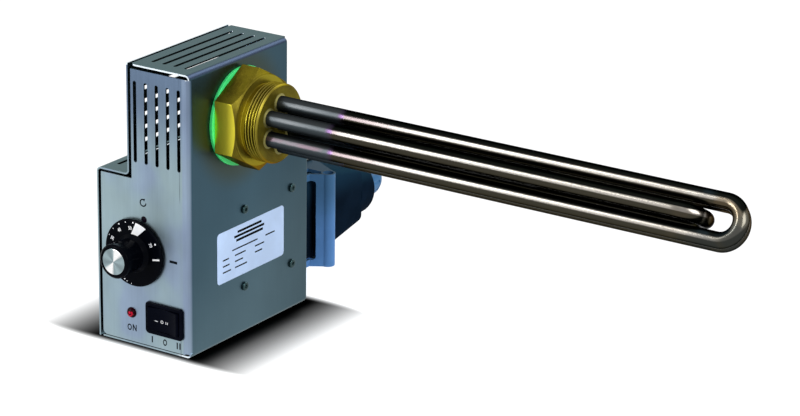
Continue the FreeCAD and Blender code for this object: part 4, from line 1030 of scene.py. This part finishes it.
class Printed:
    # marks laid on a node's front, each turned to the surface below it
    def __init__(self, node):
        self.surface = BVHTree.FromBMesh(mergedCopy(node))
        self.bm = bmesh.new()

    def lay(self, mark, x, z, turn=0.0):
        spot, normal = self.surface.ray_cast(Vector((x, shellLow.y - 0.2, z)), Vector((0, 1, 0)))[:2]
        up = (zAxis - normal * normal.z).normalized()
        right = up.cross(normal)
        frameTurn = Matrix((right, up, normal)).transposed().to_4x4()
        spin = Matrix.Rotation(math.radians(turn), 4, "Z")
        bmesh.ops.transform(mark, matrix=Matrix.Translation(spot) @ frameTurn @ spin, verts=mark.verts)
        joined(self.bm, mark)

    def done(self, name, finish, body):
        pieceFrom(self.bm, name, finish, body=body, weighted=False)


panelLook = {
    "proud": 0.04,
    "marks": [             # shape, sizes, place beside and above the box's corner in mm, and turn
        (bar, (5.6, 1.6), -12.7, 58.3, 0),
        (resetArrow, (2.1, 0.75), -34.7, 90.9, 0),
        (nought, (4.1, 3.1, 0.8), -46.0, 10.1, 0),
        (words, ("N", 4.1, 0.74, 0.16), -42.2, 10.1, 0),
        (bar, (0.85, 4.1), -29.0, 6.0, 0),
        (nought, (4.1, 2.9, 0.8), -19.5, 6.0, 0),
        (bar, (0.85, 4.1), -10.4, 6.0, 0),
        (bar, (0.85, 4.1), -8.4, 6.0, 0),
    ],
}
rockerLook = {
    "proud": 0.04,
    "marks": [
        (bar, (2.2, 0.36), -24.4, 19.2, -6),
        (nought, (1.9, 1.9, 0.28), -20.4, 19.3, 0),
        (bar, (0.3, 1.5), -17.5, 19.2, 0),
        (bar, (0.3, 1.5), -16.3, 19.2, 0),
    ],
}
dialLook = {
    "proud": 0.04,
    "numberSize": (2.2, 0.85, 0.05),    # height, width and boldness
    # angle, radius, and then the text or size
    "numbers": [(30, 15.2, "70"), (97, 15.4, "50"), (128, 16.0, "40"), (157, 16.4, "30")],
    "dots": [(28, 18.9, 0.62), (89, 19.2, 0.55), (106, 19.2, 0.35), (122, 19.2, 0.45), (139, 19.3, 0.3),
             (155, 19.3, 0.3), (250, 18.6, 0.42), (256, 19.0, 0.32), (266, 19.4, 0.25)],
    "dashSize": (5.2, 1.1),
    "dashPlace": (17.2, -2.5, 11.0),    # radius, angle and turn
    # a white field laid on the skirt: a painted reflection of a light
    "paintedReflectionAngles": (60.0, 83.0),
    "paintedReflectionRadii": (10.6, 19.6),
    "paintedReflectionTwist": 17.0,                 # how far the painted reflection's inner end is turned back
}


def boxMarks(node, name, finish, body, look):
    marks = Printed(node)
    for shape, sizes, x, z, turn in look["marks"]:
        marks.lay(shape(*sizes, look["proud"]), boxCorner.x + x * mm, boxCorner.z + z * mm, turn)
    marks.done(name, finish, body)


def dialMarks(look):
    marks = Printed("control_dial")
    depth = look["proud"]

    def lay(mark, radius, angle, turn=0.0):
        around = math.radians(angle)
        x = dialCentre.x + radius * mm * math.cos(around)
        marks.lay(mark, x, dialCentre.z + radius * mm * math.sin(around), turn)

    for angle, radius, text in look["numbers"]:
        lay(words(text, *look["numberSize"], depth), radius, angle, angle - 90)
    for angle, radius, size in look["dots"]:
        lay(dot(size, depth), radius, angle)
    lay(bar(*look["dashSize"], depth), *look["dashPlace"])
    # the painted reflection of a light on the skirt, laid as a white field
    reflectionStart, reflectionEnd = look["paintedReflectionAngles"]
    inner, outer = look["paintedReflectionRadii"]
    middle = math.radians((reflectionStart + reflectionEnd) / 2)
    paintedReflection = sector(inner, outer, reflectionStart, reflectionEnd, depth)
    innerVerts = [v for v in paintedReflection.verts if math.hypot(v.co.x, v.co.y) < (inner + outer) / 2 * mm]
    twist = Matrix.Rotation(math.radians(look["paintedReflectionTwist"]), 3, "Z")
    bmesh.ops.rotate(paintedReflection, cent=origin, matrix=twist, verts=innerVerts)
    centre = Vector((math.cos(middle), math.sin(middle), 0)) * (inner + outer) / 2 * mm
    bmesh.ops.translate(paintedReflection, vec=-centre, verts=paintedReflection.verts)
    lay(paintedReflection, (inner + outer) / 2, math.degrees(middle))
    marks.done("dial_marks", "paint", "dial")


boxMarks("main_shell", "panel_marks", "ink", staticBody, panelLook)
dialMarks(dialLook)
boxMarks("switch_rocker", "rocker_marks", "paint", "rocker", rockerLook)
print("marks")

# connector
softened("socket_housing", "socket_casting", "hood", 0.4)
softened("plug_hood", "hood_casting", "hood", 0.4)
softened("locking_lever", "lever_moulding", "lever", 0.25, "lever")
softened("gland_body", "gland_collar", "gland", 0.3)
softened("gland_nut", "gland_cap_nut", "gland", 0.3)
print("connector")


cameraSetup = {
    "azimuth": 33.3702,
    "elevation": 19.3370,
    "roll": 0.81756,
    "focal": 3341.98,              # in points of the 800 point wide picture
    "slideRight": 123.481,         # camera's place from the box's corner, in mm
    "slideUp": 89.453,
    "distance": 1977.943,
    "pictureWidth": 800,
    "sensor": 36.0,
}


def heading(azimuth, elevation):
    # unit vector towards a place seen at these angles in degrees, from the front
    turn = math.radians(azimuth)
    lift = math.radians(elevation)
    return Vector((math.sin(turn) * math.cos(lift), -math.cos(turn) * math.cos(lift), math.sin(lift)))


def makeCamera(setup):
    turn = math.radians(setup["azimuth"])
    roll = math.radians(setup["roll"])
    back = heading(setup["azimuth"], setup["elevation"])
    level = Vector((math.cos(turn), math.sin(turn), 0))
    upright = back.cross(level)
    right = math.cos(roll) * level + math.sin(roll) * upright
    up = -math.sin(roll) * level + math.cos(roll) * upright
    place = (right * setup["slideRight"] + up * setup["slideUp"] + back * setup["distance"]) * mm + boxCorner
    data = bpy.data.cameras.new("camera")
    data.sensor_width = setup["sensor"]
    data.lens = setup["focal"] * setup["sensor"] / setup["pictureWidth"]
    data.clip_start = 0.05
    data.clip_end = 50.0
    camera = linked("camera", data)
    camera.matrix_world = Matrix.Translation(place) @ Matrix((right, up, back)).transposed().to_4x4()
    bpy.context.scene.camera = camera


makeCamera(cameraSetup)

lightSetup = {
    "aim": (0.0, 0.0, -0.05),
    "ambient": 0.06,
    "lamps": {                     # azimuth from the front, elevation, distance, width, height, level
        "keyLamp": (-33.5, 20.0, 2.4, 0.32, 1.6, 0.62),
        "sideLamp": (78.0, 30.0, 2.4, 1.4, 1.4, 0.62),
        "rearLamp": (165.0, 35.0, 2.4, 1.4, 1.4, 0.35),
        "overheadLamp": (0.0, 75.0, 2.4, 2.2, 2.2, 0.22),
    },
    "floorSun": (-90.0, 87.0, 4.0, 1.16),      # azimuth, elevation, width of its disc in degrees, level
    "shadowWide": 43.0,                        # how far the box's painted shadow spreads beside it and before it, in mm
    "shadowDeep": 7.0,
    "shadowFall": 2.1,
    "floorColour": (0.90, 0.90, 0.90),
    "floorSize": 24000.0,
    "floorGap": 0.05,
}


def makeWorld(setup):
    # white where the camera, metal or glass sees it, and dim as a light
    world = bpy.data.worlds.new("studio")
    bpy.context.scene.world = world
    studio = NodeTree(world, "Background")
    studio.fixed("Color", (1.0, 1.0, 1.0, 1.0))
    seen = studio.rays("Is Camera Ray", "Is Glossy Ray", "Is Transmission Ray")
    level = studio.node("ShaderNodeMapRange", None, {"Value": seen, "To Min": setup["ambient"], "To Max": 1.0})
    studio.drive("Strength", level)


def aimed(lamp, direction):
    # turned to shine from this direction
    lamp.rotation_mode = "QUATERNION"
    lamp.rotation_quaternion = (-direction).to_track_quat("-Z", "Y")
    return lamp


def makeLamp(name, values, aim):
    azimuth, elevation, distance, width, height, level = values
    direction = heading(azimuth, elevation)
    data = bpy.data.lights.new(name, "AREA")
    data.shape = "RECTANGLE"
    data.size = width
    data.size_y = height
    data.energy = level * (math.pi * distance) ** 2
    lamp = aimed(linked(name, data), direction)
    lamp.location = aim + direction * distance
    return lamp


def linkGroup(name, pieces, state):
    group = bpy.data.collections.new(name)
    for piece in pieces:
        group.objects.link(piece)
    for member in group.collection_objects:
        member.light_linking.link_state = state
    return group


def makeLamps(setup, floor):
    # the lamps on the object leave the floor to its own lamp, and only the box shades it there
    aim = Vector(setup["aim"])
    notFloor = linkGroup("notFloor", [floor], "EXCLUDE")
    for name, values in setup["lamps"].items():
        makeLamp(name, values, aim).light_linking.receiver_collection = notFloor
    azimuth, elevation, disc, level = setup["floorSun"]
    data = bpy.data.lights.new("floorSun", "SUN")
    data.angle = math.radians(disc)
    data.energy = level * math.pi
    sun = aimed(linked("floorSun", data), heading(azimuth, elevation))
    sun.light_linking.receiver_collection = linkGroup("floorOnly", [floor], "INCLUDE")
    box = [bpy.data.objects[name] for name in ("shell_sheet", "cover_sheet")]
    sun.light_linking.blocker_collection = linkGroup("boxOnly", box, "INCLUDE")


def makeFloor(setup):
    mesh = meshFrom(rectangle(setup["floorSize"], setup["floorSize"]), "floor")
    floor = linked("floor", mesh)
    floor.location.z = shellLow.z - setup["floorGap"] * mm
    # metal and glass see the floor as plain white, and everything else sees its shadow too
    finish = Finish("floorWhite", setup["floorColour"], 0.9, Specular_IOR_Level=0.0, Emission_Strength=1.0)
    mirrored = finish.rays("Is Glossy Ray", "Is Transmission Ray")
    # the box's soft shadow, painted into the floor's colour: black beside its walls, and wider along X than
    # along Y
    x, y, z = finish.split(finish.place())
    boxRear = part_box("side_cover")[1].y
    beside = (x - shellHigh.x).larger(shellLow.x - x).larger(0) / (setup["shadowWide"] * mm)
    before = (shellLow.y - y).larger(y - boxRear).larger(0) / (setup["shadowDeep"] * mm)
    reach = (beside * beside + before * before).power(0.5)
    fade = reach.smaller(1).power(setup["shadowFall"])
    colour = finish.blend(fade, (0.003, 0.003, 0.003), setup["floorColour"])
    finish.drive("Base Color", finish.blend(mirrored, colour, (0.0, 0.0, 0.0)))
    finish.drive("Emission Color", finish.blend(mirrored, (0.0, 0.0, 0.0), (1.0, 1.0, 1.0)))
    mesh.materials.append(finish.material)
    return floor


makeWorld(lightSetup)
makeLamps(lightSetup, makeFloor(lightSetup))
bpy.context.scene.view_settings.view_transform = "Standard"
print("camera, light and floor")
